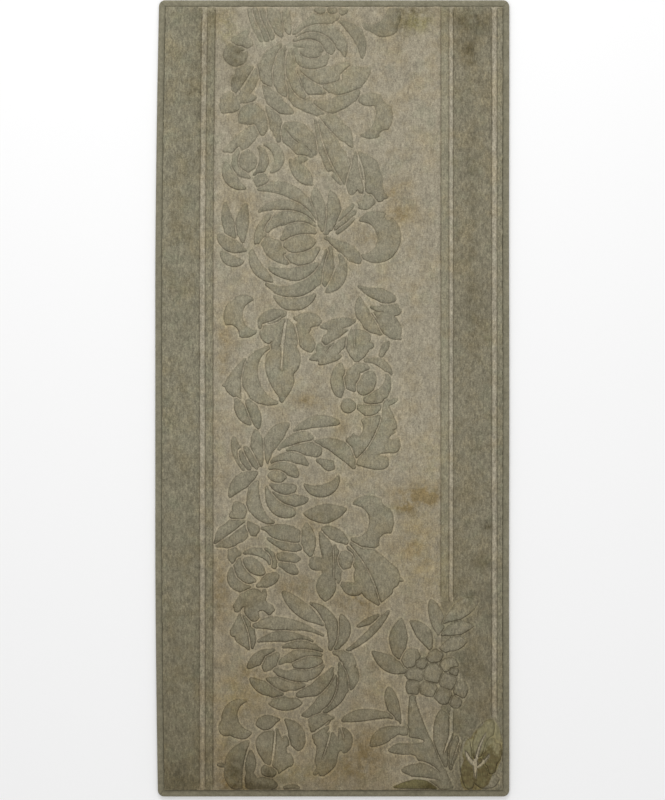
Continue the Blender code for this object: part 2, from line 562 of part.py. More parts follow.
def island_label(px, py, outlines, field):
    """The index of the shape on top at each point, or -1 where the ground shows."""
    label = np.full(len(px), -1)
    open_points = np.ones(len(px), dtype=bool)
    inside, _ = inside_and_distance(px, py, field)
    open_points &= inside
    for groove in GROOVES:
        drift = groove.top_shift * np.maximum(0.0, (py - 200) / 486) ** 1.6
        near = np.abs(px - groove.x - drift) < GROOVE_HALF_WIDTH + 0.9
        near &= (py > groove.from_y - 1) & (py < groove.to_y + 1)
        open_points &= ~near
    for index in range(len(outlines) - 1, -1, -1):
        outline = outlines[index]
        xs = [p[0] for p in outline]
        ys = [p[1] for p in outline]
        pad = CARVED_GAP + 1
        box = (px > min(xs) - pad) & (px < max(xs) + pad) & (py > min(ys) - pad) & (py < max(ys) + pad)
        picked = np.nonzero(box & open_points)[0]
        if len(picked) == 0:
            continue
        inside, gap = inside_and_distance(px[picked], py[picked], outline)
        label[picked[inside]] = index
        open_points[picked[inside | (gap < CARVED_GAP - 0.05)]] = False
    return label


def chained(edges):
    """Joins directed edges into closed loops of vertex indices."""
    following = {}
    for a, b in edges:
        following.setdefault(a, []).append(b)
    loops = []
    while following:
        start = next(iter(following))
        loop = [start]
        here = start
        while True:
            options = following[here]
            there = options.pop()
            if not options:
                del following[here]
            if there == start:
                break
            loop.append(there)
            here = there
        loops.append(loop)
    return loops


def loop_area(points):
    total = 0.0
    for k in range(len(points)):
        ax, ay = points[k - 1]
        bx, by = points[k]
        total += ax * by - bx * ay
    return total / 2


def simplified(points, corner_area, shortest):
    """Drops the corners of a loop that hardly show, the smallest first."""
    kept = list(points)
    while len(kept) > 6:
        count = len(kept)
        weakest, weight = None, None
        for k in range(count):
            ax, ay = kept[k - 1]
            bx, by = kept[k]
            cx, cy = kept[(k + 1) % count]
            area = abs((bx - ax) * (cy - ay) - (cx - ax) * (by - ay)) / 2
            near = min(math.hypot(bx - ax, by - ay), math.hypot(cx - bx, cy - by))
            score = area if near > shortest else area * 0.25
            if weight is None or score < weight:
                weakest, weight = k, score
        if weight > corner_area:
            break
        kept.pop(weakest)
    return kept


def crossing(a, b, c, d):
    """Whether the segments a-b and c-d cross."""
    def turn(p, q, r):
        return (q[0] - p[0]) * (r[1] - p[1]) - (q[1] - p[1]) * (r[0] - p[0])
    if turn(a, b, c) * turn(a, b, d) >= 0:
        return False
    return turn(c, d, a) * turn(c, d, b) < 0


def crest_loop(foot):
    """The crest outline inside a foot outline, with less run at the corners where the island is thin."""
    count = len(foot)
    runs = [SLOPE_RUN] * count
    out = [corner_direction(foot, k) for k in range(count)]
    for _ in range(14):
        crest = [(foot[k][0] - runs[k] * out[k][0], foot[k][1] - runs[k] * out[k][1]) for k in range(count)]
        tight = set()
        for k in range(count):
            a, b = crest[k], crest[(k + 1) % count]
            if (b[0] - a[0]) * (foot[(k + 1) % count][0] - foot[k][0]) + \
                    (b[1] - a[1]) * (foot[(k + 1) % count][1] - foot[k][1]) <= 0:
                tight |= {k, (k + 1) % count}
            for j in range(count):
                if crossing(a, b, foot[j], foot[(j + 1) % count]):
                    tight |= {k, (k + 1) % count}
                elif abs(j - k) > 1 and crossing(a, b, crest[j], crest[(j + 1) % count]):
                    tight |= {k, (k + 1) % count, j, (j + 1) % count}
        if not tight:
            return crest
        for k in tight:
            runs[k] = max(0.12, runs[k] * 0.7)
    return None


def island_loops():
    """The foot and crest outlines of every raised island after later shapes have cut into earlier ones."""
    outlines = [outline_of(shape) for group in PAINT_ORDER for shape in group]
    moats = [offset_outline(outline, CARVED_GAP) for outline in outlines]
    field = panel_ring(TAPE_COVER + FIT_GAP + PILE_EDGE_BEVEL + 2.0)
    lips = []
    for groove in GROOVES:
        ys = [groove.from_y + (groove.to_y - groove.from_y) * k / 8 for k in range(9)]
        reach = GROOVE_HALF_WIDTH + 0.9
        up = [(groove_x(groove, y) + reach, y) for y in ys]
        down = [(groove_x(groove, y) - reach, y) for y in ys[::-1]]
        lips.append(up + down)
    points, edges = resampled_edges(outlines + moats + [field] + lips)
    found = delaunay_2d_cdt([Vector(p) for p in points], edges, [], 0, 1e-5)
    verts = np.array([(v.x, v.y) for v in found[0]])
    faces = np.array([list(f) for f in found[2]])
    centres = verts[faces].mean(axis=1)
    labels = island_label(centres[:, 0], centres[:, 1], outlines, field)
    islands = []
    for index in sorted(set(labels.tolist()) - {-1}):
        own = faces[labels == index]
        directed = set()
        for a, b, c in own.tolist():
            for edge in ((a, b), (b, c), (c, a)):
                if (edge[1], edge[0]) in directed:
                    directed.remove((edge[1], edge[0]))
                else:
                    directed.add(edge)
        for loop in chained(sorted(directed)):
            raw = [tuple(verts[i]) for i in loop]
            if loop_area(raw) < SMALLEST_ISLAND:
                continue
            foot = simplified(raw, 0.75, 2.2)
            crest = crest_loop(foot)
            if crest is not None:
                islands.append((foot, crest))
    return islands


def top_surface(border):
    """Vertices with heights and triangles of the carved top, bounded by the border ring."""
    loops = [(border, GROUND_HEIGHT, GROUND_HEIGHT)]
    points, edges, heights = [], [], []
    for loop, height, _ in loops:
        base = len(points)
        points += loop
        heights += [height] * len(loop)
        edges += [(base + k, base + (k + 1) % len(loop)) for k in range(len(loop))]
    for groove in GROOVES:
        left, floor, right = groove_lines(groove)
        ends = [floor[0], floor[-1]]
        base = len(points)
        points += ends
        heights += [GROUND_HEIGHT, GROUND_HEIGHT]
        inner = [(groove_x(groove, groove.from_y + 3), groove.from_y + 3)] + floor[1:-1]
        inner.append((groove_x(groove, groove.to_y - 3), groove.to_y - 3))
        for line, height in ((left, GROUND_HEIGHT), (inner, GROOVE_FLOOR), (right, GROUND_HEIGHT)):
            start = len(points)
            points += line
            heights += [height] * len(line)
            edges.append((base, start))
            edges += [(start + k, start + k + 1) for k in range(len(line) - 1)]
            edges.append((len(points) - 1, base + 1))
    islands = island_loops()
    for foot, crest in islands:
        for loop, height in ((foot, GROUND_HEIGHT), (crest, CREST_HEIGHT)):
            start = len(points)
            points += loop
            heights += [height] * len(loop)
            edges += [(start + k, start + (k + 1) % len(loop)) for k in range(len(loop))]
    found = delaunay_2d_cdt([Vector(p) for p in points], edges, [], 0, 1e-5)
    verts = [(v.x, v.y) for v in found[0]]
    origin = found[3]
    z = []
    for index, sources in enumerate(origin):
        if sources:
            z.append(heights[sources[0]])
        else:
            x, y = verts[index]
            gaps = [(px - x) ** 2 + (py - y) ** 2 for px, py in points]
            z.append(heights[gaps.index(min(gaps))])
    faces = np.array([list(f) for f in found[2]])
    centres = np.array(verts)[faces].mean(axis=1)
    inside, _ = inside_and_distance(centres[:, 0], centres[:, 1], border)
    print("islands", len(islands), "top points", len(points), "placed", len(verts), "triangles", int(inside.sum()))
    place = {}
    for index, sources in enumerate(origin):
        for source in sources:
            place[source] = index
    border_index = [place[k] for k in range(len(border))]
    return verts, z, faces[inside].tolist(), border_index


def finish_object(name, verts, faces, colour, roughness):
    """Makes one closed object with its own material."""
    mesh = bpy.data.meshes.new(name)
    mesh.from_pydata([(x * MM, y * MM, z * MM) for x, y, z in verts], [], faces)
    shape = bmesh.new()
    shape.from_mesh(mesh)
    bmesh.ops.triangulate(shape, faces=shape.faces)
    bmesh.ops.recalc_face_normals(shape, faces=shape.faces)
    loose = [v for v in shape.verts if not v.link_faces]
    bmesh.ops.delete(shape, geom=loose, context="VERTS")
    open_edges = sum(1 for e in shape.edges if len(e.link_faces) != 2)
    shape.to_mesh(mesh)
    print(name, "triangles", len(shape.faces), "open edges", open_edges, "volume", round(shape.calc_volume() * 1e6, 1))
    shape.free()
    item = bpy.data.objects.new(name, mesh)
    bpy.context.scene.collection.objects.link(item)
    material = bpy.data.materials.new(name + "_fabric")
    material.use_nodes = True
    shader = material.node_tree.nodes["Principled BSDF"]
    shader.inputs["Base Color"].default_value = (*colour, 1.0)
    shader.inputs["Roughness"].default_value = roughness
    shader.inputs["Metallic"].default_value = 0.0
    mesh.materials.append(material)
    return item


def build_panel():
    """The pile rug in one piece, with a thin tongue all round for the tape."""
    wall = TAPE_COVER + FIT_GAP
    rings = [
        (wall, 0.0), (wall, TONGUE_LOW), (TAPE_THICKNESS + FIT_GAP, TONGUE_LOW),
        (TAPE_THICKNESS + FIT_GAP, TONGUE_HIGH), (wall, TONGUE_HIGH), (wall + 0.2, GROUND_HEIGHT - PILE_EDGE_BEVEL),
    ]
    border = panel_ring(wall + PILE_EDGE_BEVEL)
    flat, z, triangles, border_index = top_surface(border)
    verts = [(x, y, h) for (x, y), h in zip(flat, z)]
    faces = [tuple(t) for t in triangles]
    previous = border_index
    count = len(border)
    for inset, height in rings[::-1]:
        base = len(verts)
        verts += [(x, y, height) for x, y in panel_ring(inset)]
        here = list(range(base, base + count))
        for k in range(count):
            j = (k + 1) % count
            faces.append((previous[k], here[k], here[j], previous[j]))
        previous = here
    faces.append(tuple(previous[::-1]))
    return finish_object("pile_panel", verts, faces, (0.40, 0.36, 0.27), 0.95)


def build_tape(side, run):
    """One strip of tape folded over the edge, with mitred ends."""
    t = TAPE_THICKNESS
    high = TAPE_HEIGHT
    section = [
        (1.4, 0.0), (0.3, 0.9), (0.0, 2.6), (0.4, high - 1.1), (1.8, high - 0.2), (6.5, high), (TAPE_COVER, high - 0.7),
        (TAPE_COVER, high - 0.7 - t + 0.2), (6.5, high - t), (2.0, high - t - 0.1), (t, high - t - 0.6),
        (t, TONGUE_LOW - 0.4 + 0.5), (t + 0.5, TONGUE_LOW - 0.45), (TAPE_COVER, TONGUE_LOW - 0.5), (TAPE_COVER, 0.0),
    ]
    verts, faces = [], []
    last = len(run) - 1
    for k, station in enumerate(run):
        nx, ny = station.normal_x, station.normal_y
        shift_x = shift_y = 0.0
        if k == 0:
            shift_x, shift_y = -ny * MITRE_GAP / 2, nx * MITRE_GAP / 2
        if k == last:
            shift_x, shift_y = ny * MITRE_GAP / 2, -nx * MITRE_GAP / 2
        for inset, height in section:
            x, y = station_point(station, inset)
            verts.append((x + shift_x, y + shift_y, height))
    size = len(section)
    for k in range(last):
        for i in range(size):
            j = (i + 1) % size
            faces.append((k * size + i, k * size + j, (k + 1) * size + j, (k + 1) * size + i))
    lower = [0, 1, 2, 3, 4, 5, 6, 7, 8, 9, 10, 11, 12, 13, 14]
    faces.append(tuple(lower[::-1]))
    faces.append(tuple(last * size + i for i in lower))
    return finish_object("binding_" + side, verts, faces, (0.25, 0.25, 0.19), 0.8)


def main():
    for item in list(bpy.data.objects):
        bpy.data.objects.remove(item, do_unlink=True)
    build_panel()
    for side, run in edge_stations().items():
        build_tape(side, run)


main()
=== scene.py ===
"""A carved wool rug with a tape-bound edge, lying on a pale floor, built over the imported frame."""
import math
import random
from collections import namedtuple

import bmesh
import bpy
import numpy as np
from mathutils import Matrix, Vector, kdtree, noise
from mathutils.geometry import delaunay_2d_cdt


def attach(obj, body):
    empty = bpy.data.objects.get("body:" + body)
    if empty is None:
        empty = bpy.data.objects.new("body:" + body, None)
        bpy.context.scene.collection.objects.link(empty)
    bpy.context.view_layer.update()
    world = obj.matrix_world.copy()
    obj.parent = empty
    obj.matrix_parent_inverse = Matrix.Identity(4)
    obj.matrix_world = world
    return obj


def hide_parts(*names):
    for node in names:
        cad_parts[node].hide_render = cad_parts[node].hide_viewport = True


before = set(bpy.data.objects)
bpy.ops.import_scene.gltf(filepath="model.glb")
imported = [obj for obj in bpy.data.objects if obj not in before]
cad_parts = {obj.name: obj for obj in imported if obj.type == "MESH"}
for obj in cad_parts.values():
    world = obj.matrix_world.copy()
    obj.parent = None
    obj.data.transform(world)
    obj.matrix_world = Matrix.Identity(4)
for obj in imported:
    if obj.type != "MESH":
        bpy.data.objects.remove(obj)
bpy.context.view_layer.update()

MM = 0.001

# Sizes repeated from the CAD part, in millimetres.
RUG_WIDTH = 610.0
RUG_LENGTH = 1372.0
CORNER_RADIUS = 11.0
SHARPEST_RADIUS = 0.8
CORNER_REACH = 17.0
EDGE_DRIFT_TOP_LEFT = 6.5
EDGE_DRIFT_BOTTOM_LEFT = 4.5
GROUND_HEIGHT = 10.5
CREST_HEIGHT = 12.6
TAPE_COVER = 12.0
TAPE_THICKNESS = 1.2
TAPE_HEIGHT = 6.4
FIT_GAP = 0.4
TONGUE_LOW = 1.7
TONGUE_HIGH = 4.2
PILE_EDGE_BEVEL = 1.2

# The pile surface: spacing of its points and the shape of what is carved into it.
OUTLINE_STEP = 2.45
FILL_STEP_NEAR = 3.0
FILL_STEP_FAR = 5.2
NEAR_REACH = 7.0
FARTHEST_READ = 9.0
VEIN_HALO = 1.2
CLOSEST_POINTS = 1.1
REACH_ALONE = 2.0
REACH_CLOSE = 3.8
NARROWEST_GAP = 2.6
FARTHEST_OWNER = 170.0
FIELD_CELL = 1.05
STORE_CELL = 2.0
GROOVE_OUT = 0.55
BANK_OUT = 1.35
LIP_OUT = 2.8
SHOULDER_IN = 1.3
STRIPE_BANK = 1.7
SEED = 1932

# The camera: its height and the rug's own in metres, the view's width in pixels, and millimetres a pixel.
CAMERA_HEIGHT = 4.6
RUG_TOP = 0.010
VIEW_WIDTH = 665
PIXEL_SIZE = 1.7204
SENSOR_WIDTH = 36.0

# Yarn colours as they look in plain light, from 0 to 1.
BEIGE = (0.345, 0.307, 0.225)
PALE = (0.372, 0.335, 0.250)
GREY_GREEN = (0.286, 0.261, 0.187)
BAND_GREEN = (0.240, 0.220, 0.153)
BROAD_GREEN = (0.234, 0.211, 0.146)
OUTER_GREEN = (0.264, 0.242, 0.170)
STRIPE_LEFT = (0.262, 0.239, 0.166)
STRIPE_RIGHT = (0.284, 0.260, 0.181)
OLIVE = (0.205, 0.183, 0.090)
OLIVE_LIGHT = (0.278, 0.257, 0.156)
OLIVE_DARK = (0.150, 0.122, 0.058)
BACK_COLOUR = (0.300, 0.265, 0.195)
TAPE_DARK = (0.205, 0.188, 0.128)
TAPE_LIGHT = (0.258, 0.239, 0.168)

# What each kind of mark multiplies the yarn colour by.
MARK_TONES = {
    "brown": (0.78, 0.68, 0.48),
    "dark": (0.50, 0.47, 0.38),
    "olive": (0.80, 0.80, 0.52),
    "yellow": (1.03, 0.95, 0.74),
}


def bumpy(x, y, size, layer):
    """Smooth noise round zero with bumps of a size in millimetres, and with its own look in each layer."""
    return noise.noise(Vector((x / size, y / size, layer)))


def new_object(name, data, place=(0.0, 0.0, 0.0)):
    made = bpy.data.objects.new(name, data)
    made.location = place
    bpy.context.scene.collection.objects.link(made)
    return made


def new_mesh(name, points, faces):
    """A mesh with smooth faces from points in millimetres."""
    mesh = bpy.data.meshes.new(name)
    mesh.from_pydata([(x * MM, y * MM, z * MM) for x, y, z in points], [], faces)
    mesh.update()
    mesh.shade_smooth()
    return mesh


def evenly(first, last, step):
    """Values from the first to the last, about a step apart."""
    count = round(abs(last - first) / step)
    return [first + (last - first) * k / count for k in range(count + 1)]


def slow_drift(y):
    """How far the left stripes lean to the right toward the top end, from 0 to 1."""
    return max(0.0, (y - 200) / 486) ** 1.6


def left_edge(y):
    bottom = max(0.0, (-y - 250) / 436) ** 1.6
    return -RUG_WIDTH / 2 + EDGE_DRIFT_TOP_LEFT * slow_drift(y) + EDGE_DRIFT_BOTTOM_LEFT * bottom


def right_edge(y):
    return RUG_WIDTH / 2 - 0.25 + 0.25 * math.cos(y / 95.0)


# A station is a place on the outer edge with its outward normal. In a corner, side_x and side_y say which
# corner it is, and edge_x and edge_y are the two edge lines that meet there.
Station = namedtuple("Station", "x y normal_x normal_y side_x side_y edge_x edge_y", defaults=(0, 0, 0, 0))


def station_point(station, inset):
    """The point at a distance in from the outer edge, with corners that get sharper toward the middle."""
    if station.side_x == 0:
        return station.x - station.normal_x * inset, station.y - station.normal_y * inset
    radius = max(CORNER_RADIUS - inset, SHARPEST_RADIUS)
    x = station.edge_x - station.side_x * (inset + radius) + radius * station.normal_x
    y = station.edge_y - station.side_y * (inset + radius) + radius * station.normal_y
    return x, y


def edge_runs(step, corner_steps):
    """The rug's outline as four runs of stations, each from one mid-corner to the next."""
    top = RUG_LENGTH / 2
    straight = top - CORNER_REACH
    ys = evenly(straight, -straight, step)
    edge_lines = {}
    for side_y in (-1, 1):
        edge_lines[-1, side_y] = left_edge(side_y * (top - CORNER_RADIUS))
        edge_lines[1, side_y] = right_edge(side_y * (top - CORNER_RADIUS))

    def corner(side_x, side_y, start):
        """Half a corner, an eighth of a turn from the start in degrees."""
        edge_x = edge_lines[side_x, side_y]
        turns = [math.radians(start + 45 * k / corner_steps) for k in range(corner_steps + 1)]
        return [Station(0, 0, math.cos(a), math.sin(a), side_x, side_y, edge_x, side_y * top) for a in turns]

    def side(edge, heights, sign):
        return [Station(edge(y), y, sign, 0.0) for y in heights]

    def cross(sign):
        inner = -sign * CORNER_REACH
        xs = evenly(edge_lines[sign, sign] + inner, edge_lines[-sign, sign] - inner, step)
        return [Station(x, sign * top, 0.0, sign) for x in xs]

    return {
        "left": corner(-1, 1, 135) + side(left_edge, ys, -1.0) + corner(-1, -1, 180),
        "bottom": corner(-1, -1, 225) + cross(-1) + corner(1, -1, 270),
        "right": corner(1, -1, 315) + side(right_edge, ys[::-1], 1.0) + corner(1, 1, 0),
        "top": corner(1, 1, 45) + cross(1) + corner(-1, 1, 90),
    }


def outline_ring(inset, step=5.0, corner_steps=4):
    """The whole outline anticlockwise, at a distance in from the outer edge."""
    ring = []
    for run in edge_runs(step, corner_steps).values():
        ring += [station_point(station, inset) for station in run[:-1]]
    return ring


def crest_outlines():
    """The outline of each raised flower and leaf shape of the CAD panel, in millimetres."""
    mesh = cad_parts["pile_panel"].data
    keys = [(round(v.co.x * 1e5), round(v.co.y * 1e5)) for v in mesh.vertices]
    high = [v.co.z > (CREST_HEIGHT - 0.2) * MM for v in mesh.vertices]
    border = {}
    for face in mesh.polygons:
        corners = face.vertices
        if not all(high[i] for i in corners):
            continue
        for k in range(len(corners)):
            a, b = keys[corners[k]], keys[corners[(k + 1) % len(corners)]]
            if (b, a) in border:
                del border[(b, a)]
            else:
                border[(a, b)] = True
    following = {a: b for a, b in border}
    loops = []
    while following:
        start = min(following)
        loop, here = [], start
        while here in following:
            loop.append((here[0] / 100, here[1] / 100))
            here = following.pop(here)
        if len(loop) > 3:
            loops.append(loop)
    return loops


def inside(px, py, loop):
    """Which points lie inside a closed loop."""
    found = np.zeros(px.shape, dtype=bool)
    for (ax, ay), (bx, by) in zip(loop, np.roll(loop, -1, axis=0)):
        if ay != by:
            found ^= ((ay > py) != (by > py)) & (px < ax + (py - ay) * (bx - ax) / (by - ay))
    return found


def loop_distance(px, py, loop):
    """Signed distance from points to a closed loop, negative inside."""
    best = np.full(px.shape, 1e9)
    for (ax, ay), (bx, by) in zip(loop, np.roll(loop, -1, axis=0)):
        dx, dy = bx - ax, by - ay
        t = np.clip(((px - ax) * dx + (py - ay) * dy) / max(dx * dx + dy * dy, 1e-9), 0, 1)
        best = np.minimum(best, (px - ax - t * dx) ** 2 + (py - ay - t * dy) ** 2)
    return np.where(inside(px, py, loop), -1, 1) * np.sqrt(best)


def lobe_distance(px, py, lobe):
    """Signed distance from points to a tilted ellipse, close to true near its edge."""
    x, y, along, across, turn = lobe
    c, s = math.cos(math.radians(turn)), math.sin(math.radians(turn))
    u = ((px - x) * c + (py - y) * s) / along
    v = ((py - y) * c - (px - x) * s) / across
    r = np.sqrt(u * u + v * v) + 1e-6
    slope = np.sqrt((u / along) ** 2 + (v / across) ** 2) / r + 1e-6
    return (r - 1) / slope


def grouped(loops):
    """The raised shapes gathered into leaves and petals, each with the lobes that belong to it."""
    group = list(range(len(loops)))
    owned = []
    for lobe in ADDED + JOINED:
        x, y, along, across, turn = lobe
        c, s = math.cos(math.radians(turn)), math.sin(math.radians(turn))
        tries = [(u * along, v * across) for u, v in ((0, 0), (0.8, 0), (-0.8, 0), (0, 0.8), (0, -0.8))]
        px = np.array([x + u * c - v * s for u, v in tries])
        py = np.array([y + u * s + v * c for u, v in tries])
        near = [99.0] * len(loops)
        for k, loop in enumerate(loops):
            if abs(loop[0][0] - x) + abs(loop[0][1] - y) < FARTHEST_OWNER:
                near[k] = float(loop_distance(px, py, loop).min())
        first = int(np.argmin(near))
        owned.append((first, lobe))
        if lobe in JOINED:
            for other, gap in enumerate(near):
                if gap < 0.5:
                    old, new = group[other], group[first]
                    group = [new if g == old else g for g in group]
    shapes = []
    for g in sorted(set(group)):
        members = [k for k in range(len(loops)) if group[k] == g]
        shapes.append(([loops[k] for k in members], [lobe for owner, lobe in owned if group[owner] == g]))
    return shapes


def motif_field(loops):
    """How far outside the spread flower and leaf shapes each place of a grid lies."""
    xs = np.arange(-0.5 * RUG_WIDTH, 0.5 * RUG_WIDTH, FIELD_CELL)
    ys = np.arange(-0.5 * RUG_LENGTH, 0.5 * RUG_LENGTH, FIELD_CELL)
    gx, gy = np.meshgrid(xs, ys, indexing="ij")
    first = np.full(gx.shape, 99.0)
    second = np.full(gx.shape, 99.0)

    def window(low, high, margin):
        i0, i1 = np.searchsorted(xs, (low[0] - margin, high[0] + margin))
        j0, j1 = np.searchsorted(ys, (low[1] - margin, high[1] + margin))
        return slice(i0, i1), slice(j0, j1)

    for members, lobes in grouped(loops):
        corners = np.vstack(members + [[[x - max(a, b), y - max(a, b)], [x + max(a, b), y + max(a, b)]]
                                       for x, y, a, b, _ in lobes])
        part = window(corners.min(axis=0), corners.max(axis=0), 14.0)
        px, py = gx[part], gy[part]
        here = np.full(px.shape, 99.0)
        for loop in members:
            here = np.minimum(here, loop_distance(px, py, loop))
        for lobe in lobes:
            here = np.minimum(here, lobe_distance(px, py, lobe) + REACH_ALONE)
        closer = here < first[part]
        second[part] = np.where(closer, first[part], np.minimum(second[part], here))
        first[part] = np.where(closer, here, first[part])
    reach = np.interp(second, (5.0, 11.0), (REACH_CLOSE, REACH_ALONE))
    gap = np.full(gx.shape, NARROWEST_GAP)
    for ellipse, spread, line_gap in CLOSE_CARVED:
        packed = lobe_distance(gx, gy, ellipse) < 0
        reach[packed] = np.interp(second[packed], (7.0, 14.0), (spread, REACH_ALONE))
        gap[packed] = line_gap
    value = np.maximum(first - reach, (gap - (second - first)) / 2)
    for lobe in CUT_AWAY:
        value = np.maximum(value, -lobe_distance(gx, gy, lobe))
    for vein in VEINS:
        outline = stroke(*vein)
        part = window(outline.min(axis=0), outline.max(axis=0), 4.0)
        value[part] = np.maximum(value[part], -loop_distance(gx[part], gy[part], outline))
    return xs, ys, value


def contours(xs, ys, value):
    """Closed loops where the grid's value crosses zero, anticlockwise round the negative parts."""
    nodes, links = {}, {}
    low = value < 0
    mixed = low[:-1, :-1].astype(int) + low[1:, :-1] + low[:-1, 1:] + low[1:, 1:]
    for i, j in zip(*np.nonzero((mixed > 0) & (mixed < 4))):
        ring = [(i, j), (i + 1, j), (i + 1, j + 1), (i, j + 1)]
        crossings = []
        for k in range(4):
            a, b = ring[k], ring[(k + 1) % 4]
            if low[a] != low[b]:
                key = (min(a, b), max(a, b))
                if key not in nodes:
                    t = value[a] / (value[a] - value[b])
                    x, y = xs[a[0]], ys[a[1]]
                    nodes[key] = (x + (xs[b[0]] - x) * t, y + (ys[b[1]] - y) * t)
                crossings.append((key, bool(low[a])))
        order = [key for key, _ in crossings]
        for key, out in crossings:
            if out:
                links[key] = order[(order.index(key) + 1) % len(order)]
    loops = []
    while links:
        loop, here = [], next(iter(links))
        while here in links:
            loop.append(nodes[here])
            here = links.pop(here)
        loops.append(np.array(loop))
    return loops


def signed_area(loop):
    x, y = loop[:, 0], loop[:, 1]
    return 0.5 * float((x * np.roll(y, -1) - np.roll(x, -1) * y).sum())


def resampled(loop, step):
    """The loop with evenly spaced points, lightly smoothed."""
    loop = (np.roll(loop, 1, axis=0) + 2 * loop + np.roll(loop, -1, axis=0)) / 4
    ends = np.vstack([loop, loop[:1]])
    run = np.concatenate([[0], np.cumsum(np.linalg.norm(np.diff(ends, axis=0), axis=1))])
    at = np.linspace(0, run[-1], max(6, round(run[-1] / step)), endpoint=False)
    return np.stack([np.interp(at, run, ends[:, 0]), np.interp(at, run, ends[:, 1])], axis=1)


def lengths(steps):
    return np.linalg.norm(steps, axis=1)[:, None]


def rounded(loop, parts=3):
    """The loop as smooth curves through its points, with its sharp tips kept."""
    ahead = np.roll(loop, -1, axis=0) - loop
    size = lengths(ahead)
    way = ahead / size
    before = np.roll(way, 1, axis=0)
    sharp = (way * before).sum(axis=1)[:, None] < 0.45
    middle = way + before
    middle = middle / np.maximum(lengths(middle), 1e-6)
    leaving = np.where(sharp, way, middle) * size
    arriving = np.where(np.roll(sharp, -1, axis=0), way, np.roll(middle, -1, axis=0)) * size
    after = loop + ahead
    rows = []
    for k in range(parts):
        t = k / parts
        a, b = 2 * t ** 3 - 3 * t ** 2 + 1, 3 * t ** 2 - 2 * t ** 3
        c, d = t ** 3 - 2 * t ** 2 + t, t ** 3 - t ** 2
        rows.append(a * loop + b * after + c * leaving + d * arriving)
    return np.stack(rows, axis=1).reshape(-1, 2)


def motif_outlines():
    """The outlines of the flowers and leaves as they are carved, holes left by veins running clockwise."""
    loops = [rounded(np.array(loop)) for loop in crest_outlines()]
    found = contours(*motif_field(loops))
    return [resampled(loop, OUTLINE_STEP) for loop in found if abs(signed_area(loop)) > 9]


def shifted(loop, reach):
    """Each point of an anticlockwise loop moved outward by reach along its normal."""
    ahead = np.roll(loop, -1, axis=0) - loop
    behind = loop - np.roll(loop, 1, axis=0)
    along = ahead / lengths(ahead) + behind / lengths(behind)
    size = lengths(along)
    normal = np.stack([along[:, 1], -along[:, 0]], axis=1) / np.maximum(size, 0.6)
    return loop + normal * reach


# Changes to the raised shapes, each an ellipse: centre x, y, half length, half width and turn in degrees.
# An added one widens the nearest shape, and a joined one also makes one shape of all that it touches.
ADDED = [
    (66, 514, 19, 11, 8),
    (-183, -566, 13, 15, 0),
    (92, 634, 21, 12, 10),
    (-155, 613, 19, 11, -15),
    (-168, 591, 20, 17, 0),
    (-176, 509, 17, 18, 20),
    (-54, 411, 12, 6, 15),
    (85, 350, 12, 5, -25),
    (-113, 107, 13, 10, -50),
    (-4, 66, 22, 5, 20),
    (66, 91, 6, 5.5, 0),
    (113, 106, 8, 3, -40),
    (-186, 23, 4, 2.5, 10),
    (103, -6, 12, 4, 30),
    (106, -44, 5, 10, 10),
    (36, -75, 12, 7, -30),
    (-38, 594, 17, 8, -12),
    (-136, -226, 10, 10, 0),
    (37, 377, 28, 11, 80),
    (-122, 373, 12, 9, 10),
    (38, 560, 26, 10, 8),
    (90, 175, 20, 10, -12),
    (118, -312, 5, 3, -35),
    (-27, -292, 11, 4, -5),
    (-162, -362, 8, 4, 30),
    (-117, -338, 4, 9, 0),
    (-171, -402, 5, 8, 0),
    (-191, -631, 8, 3.5, -10),
    (-75, -622, 8, 12, 15),
    (-27, -642, 8, 4, 50),
]
JOINED = [
    (-140, 489, 20, 17, 20),
    (-152, 516, 22, 7, 5),
    (-172, 512, 10, 6, 20),
    (-62, 446, 19, 11, -40),
    (52, 344, 8, 8, 0),
    (66, 376, 42, 15, -62),
    (58, 341, 15, 13, 20),
    (-152, -234, 9, 4, 20),
    (-50, 121, 13, 13, 0),
    (-124, 128, 4, 8, 0),
    (-98, 90, 7, 9, 0),
    (-88, 22, 5, 26, 0),
    (4, 118, 13, 5, 10),
    (-18, 84, 9, 11, 30),
    (40, 76, 5, 11, 0),
    (36, 37, 11, 11, 30),
    (106, 158, 7, 7, 0),
    (100, 146, 11, 5, 0),
    (72, 122, 8, 7, -30),
    (-163, -200, 14, 9, 0),
    (-4, -287, 15, 32, 0),
    (-128, -354, 16, 12, 0),
    (28, -459, 9, 12, 20),
    (48, -322, 7, 7, 0),
    (-140, -655, 10, 11, 0),
    (-112, -640, 11, 9, 0),
    (-80, -590, 6, 9, 0),
    (-30, -568, 8, 8, 0),
    (-12, -628, 7, 20, -15),
    (12, -600, 5, 7, 0),
    (-26, -590, 6, 7, 0),
    (122, -573, 9, 7, 0),
    (150, -607, 22, 9, -8),
    (164, -642, 24, 9, -10),
    (250, -640, 21, 22, 0),
    (236, -632, 11, 36, 0),
    (272, -616, 12, 34, 0),
    (252, -600, 12, 26, -25),
]
CUT_AWAY = [
    (97, 518, 15, 11, -48),
    (90, 454.5, 10, 7, 20),
    (96, 312, 6, 5, -40),
    (-174, 112, 16, 13, -50),
    (-177, 175, 12, 9, 40),
    (93, -245, 14, 12, 45),
    (97, -180, 13, 8, -25),
    (-197, -540, 7, 8, 0),
    (121, 662, 4, 5, 0),
    (-5, 385, 8, 4.5, 40),
    (44, -50, 9, 15, 0),
    (109, -64.5, 12, 5, 25),
    (98, -97.3, 18, 3.2, 0),
    (111, -330, 8, 6, 30),
    (129, -588.5, 29, 5.5, -3),
]

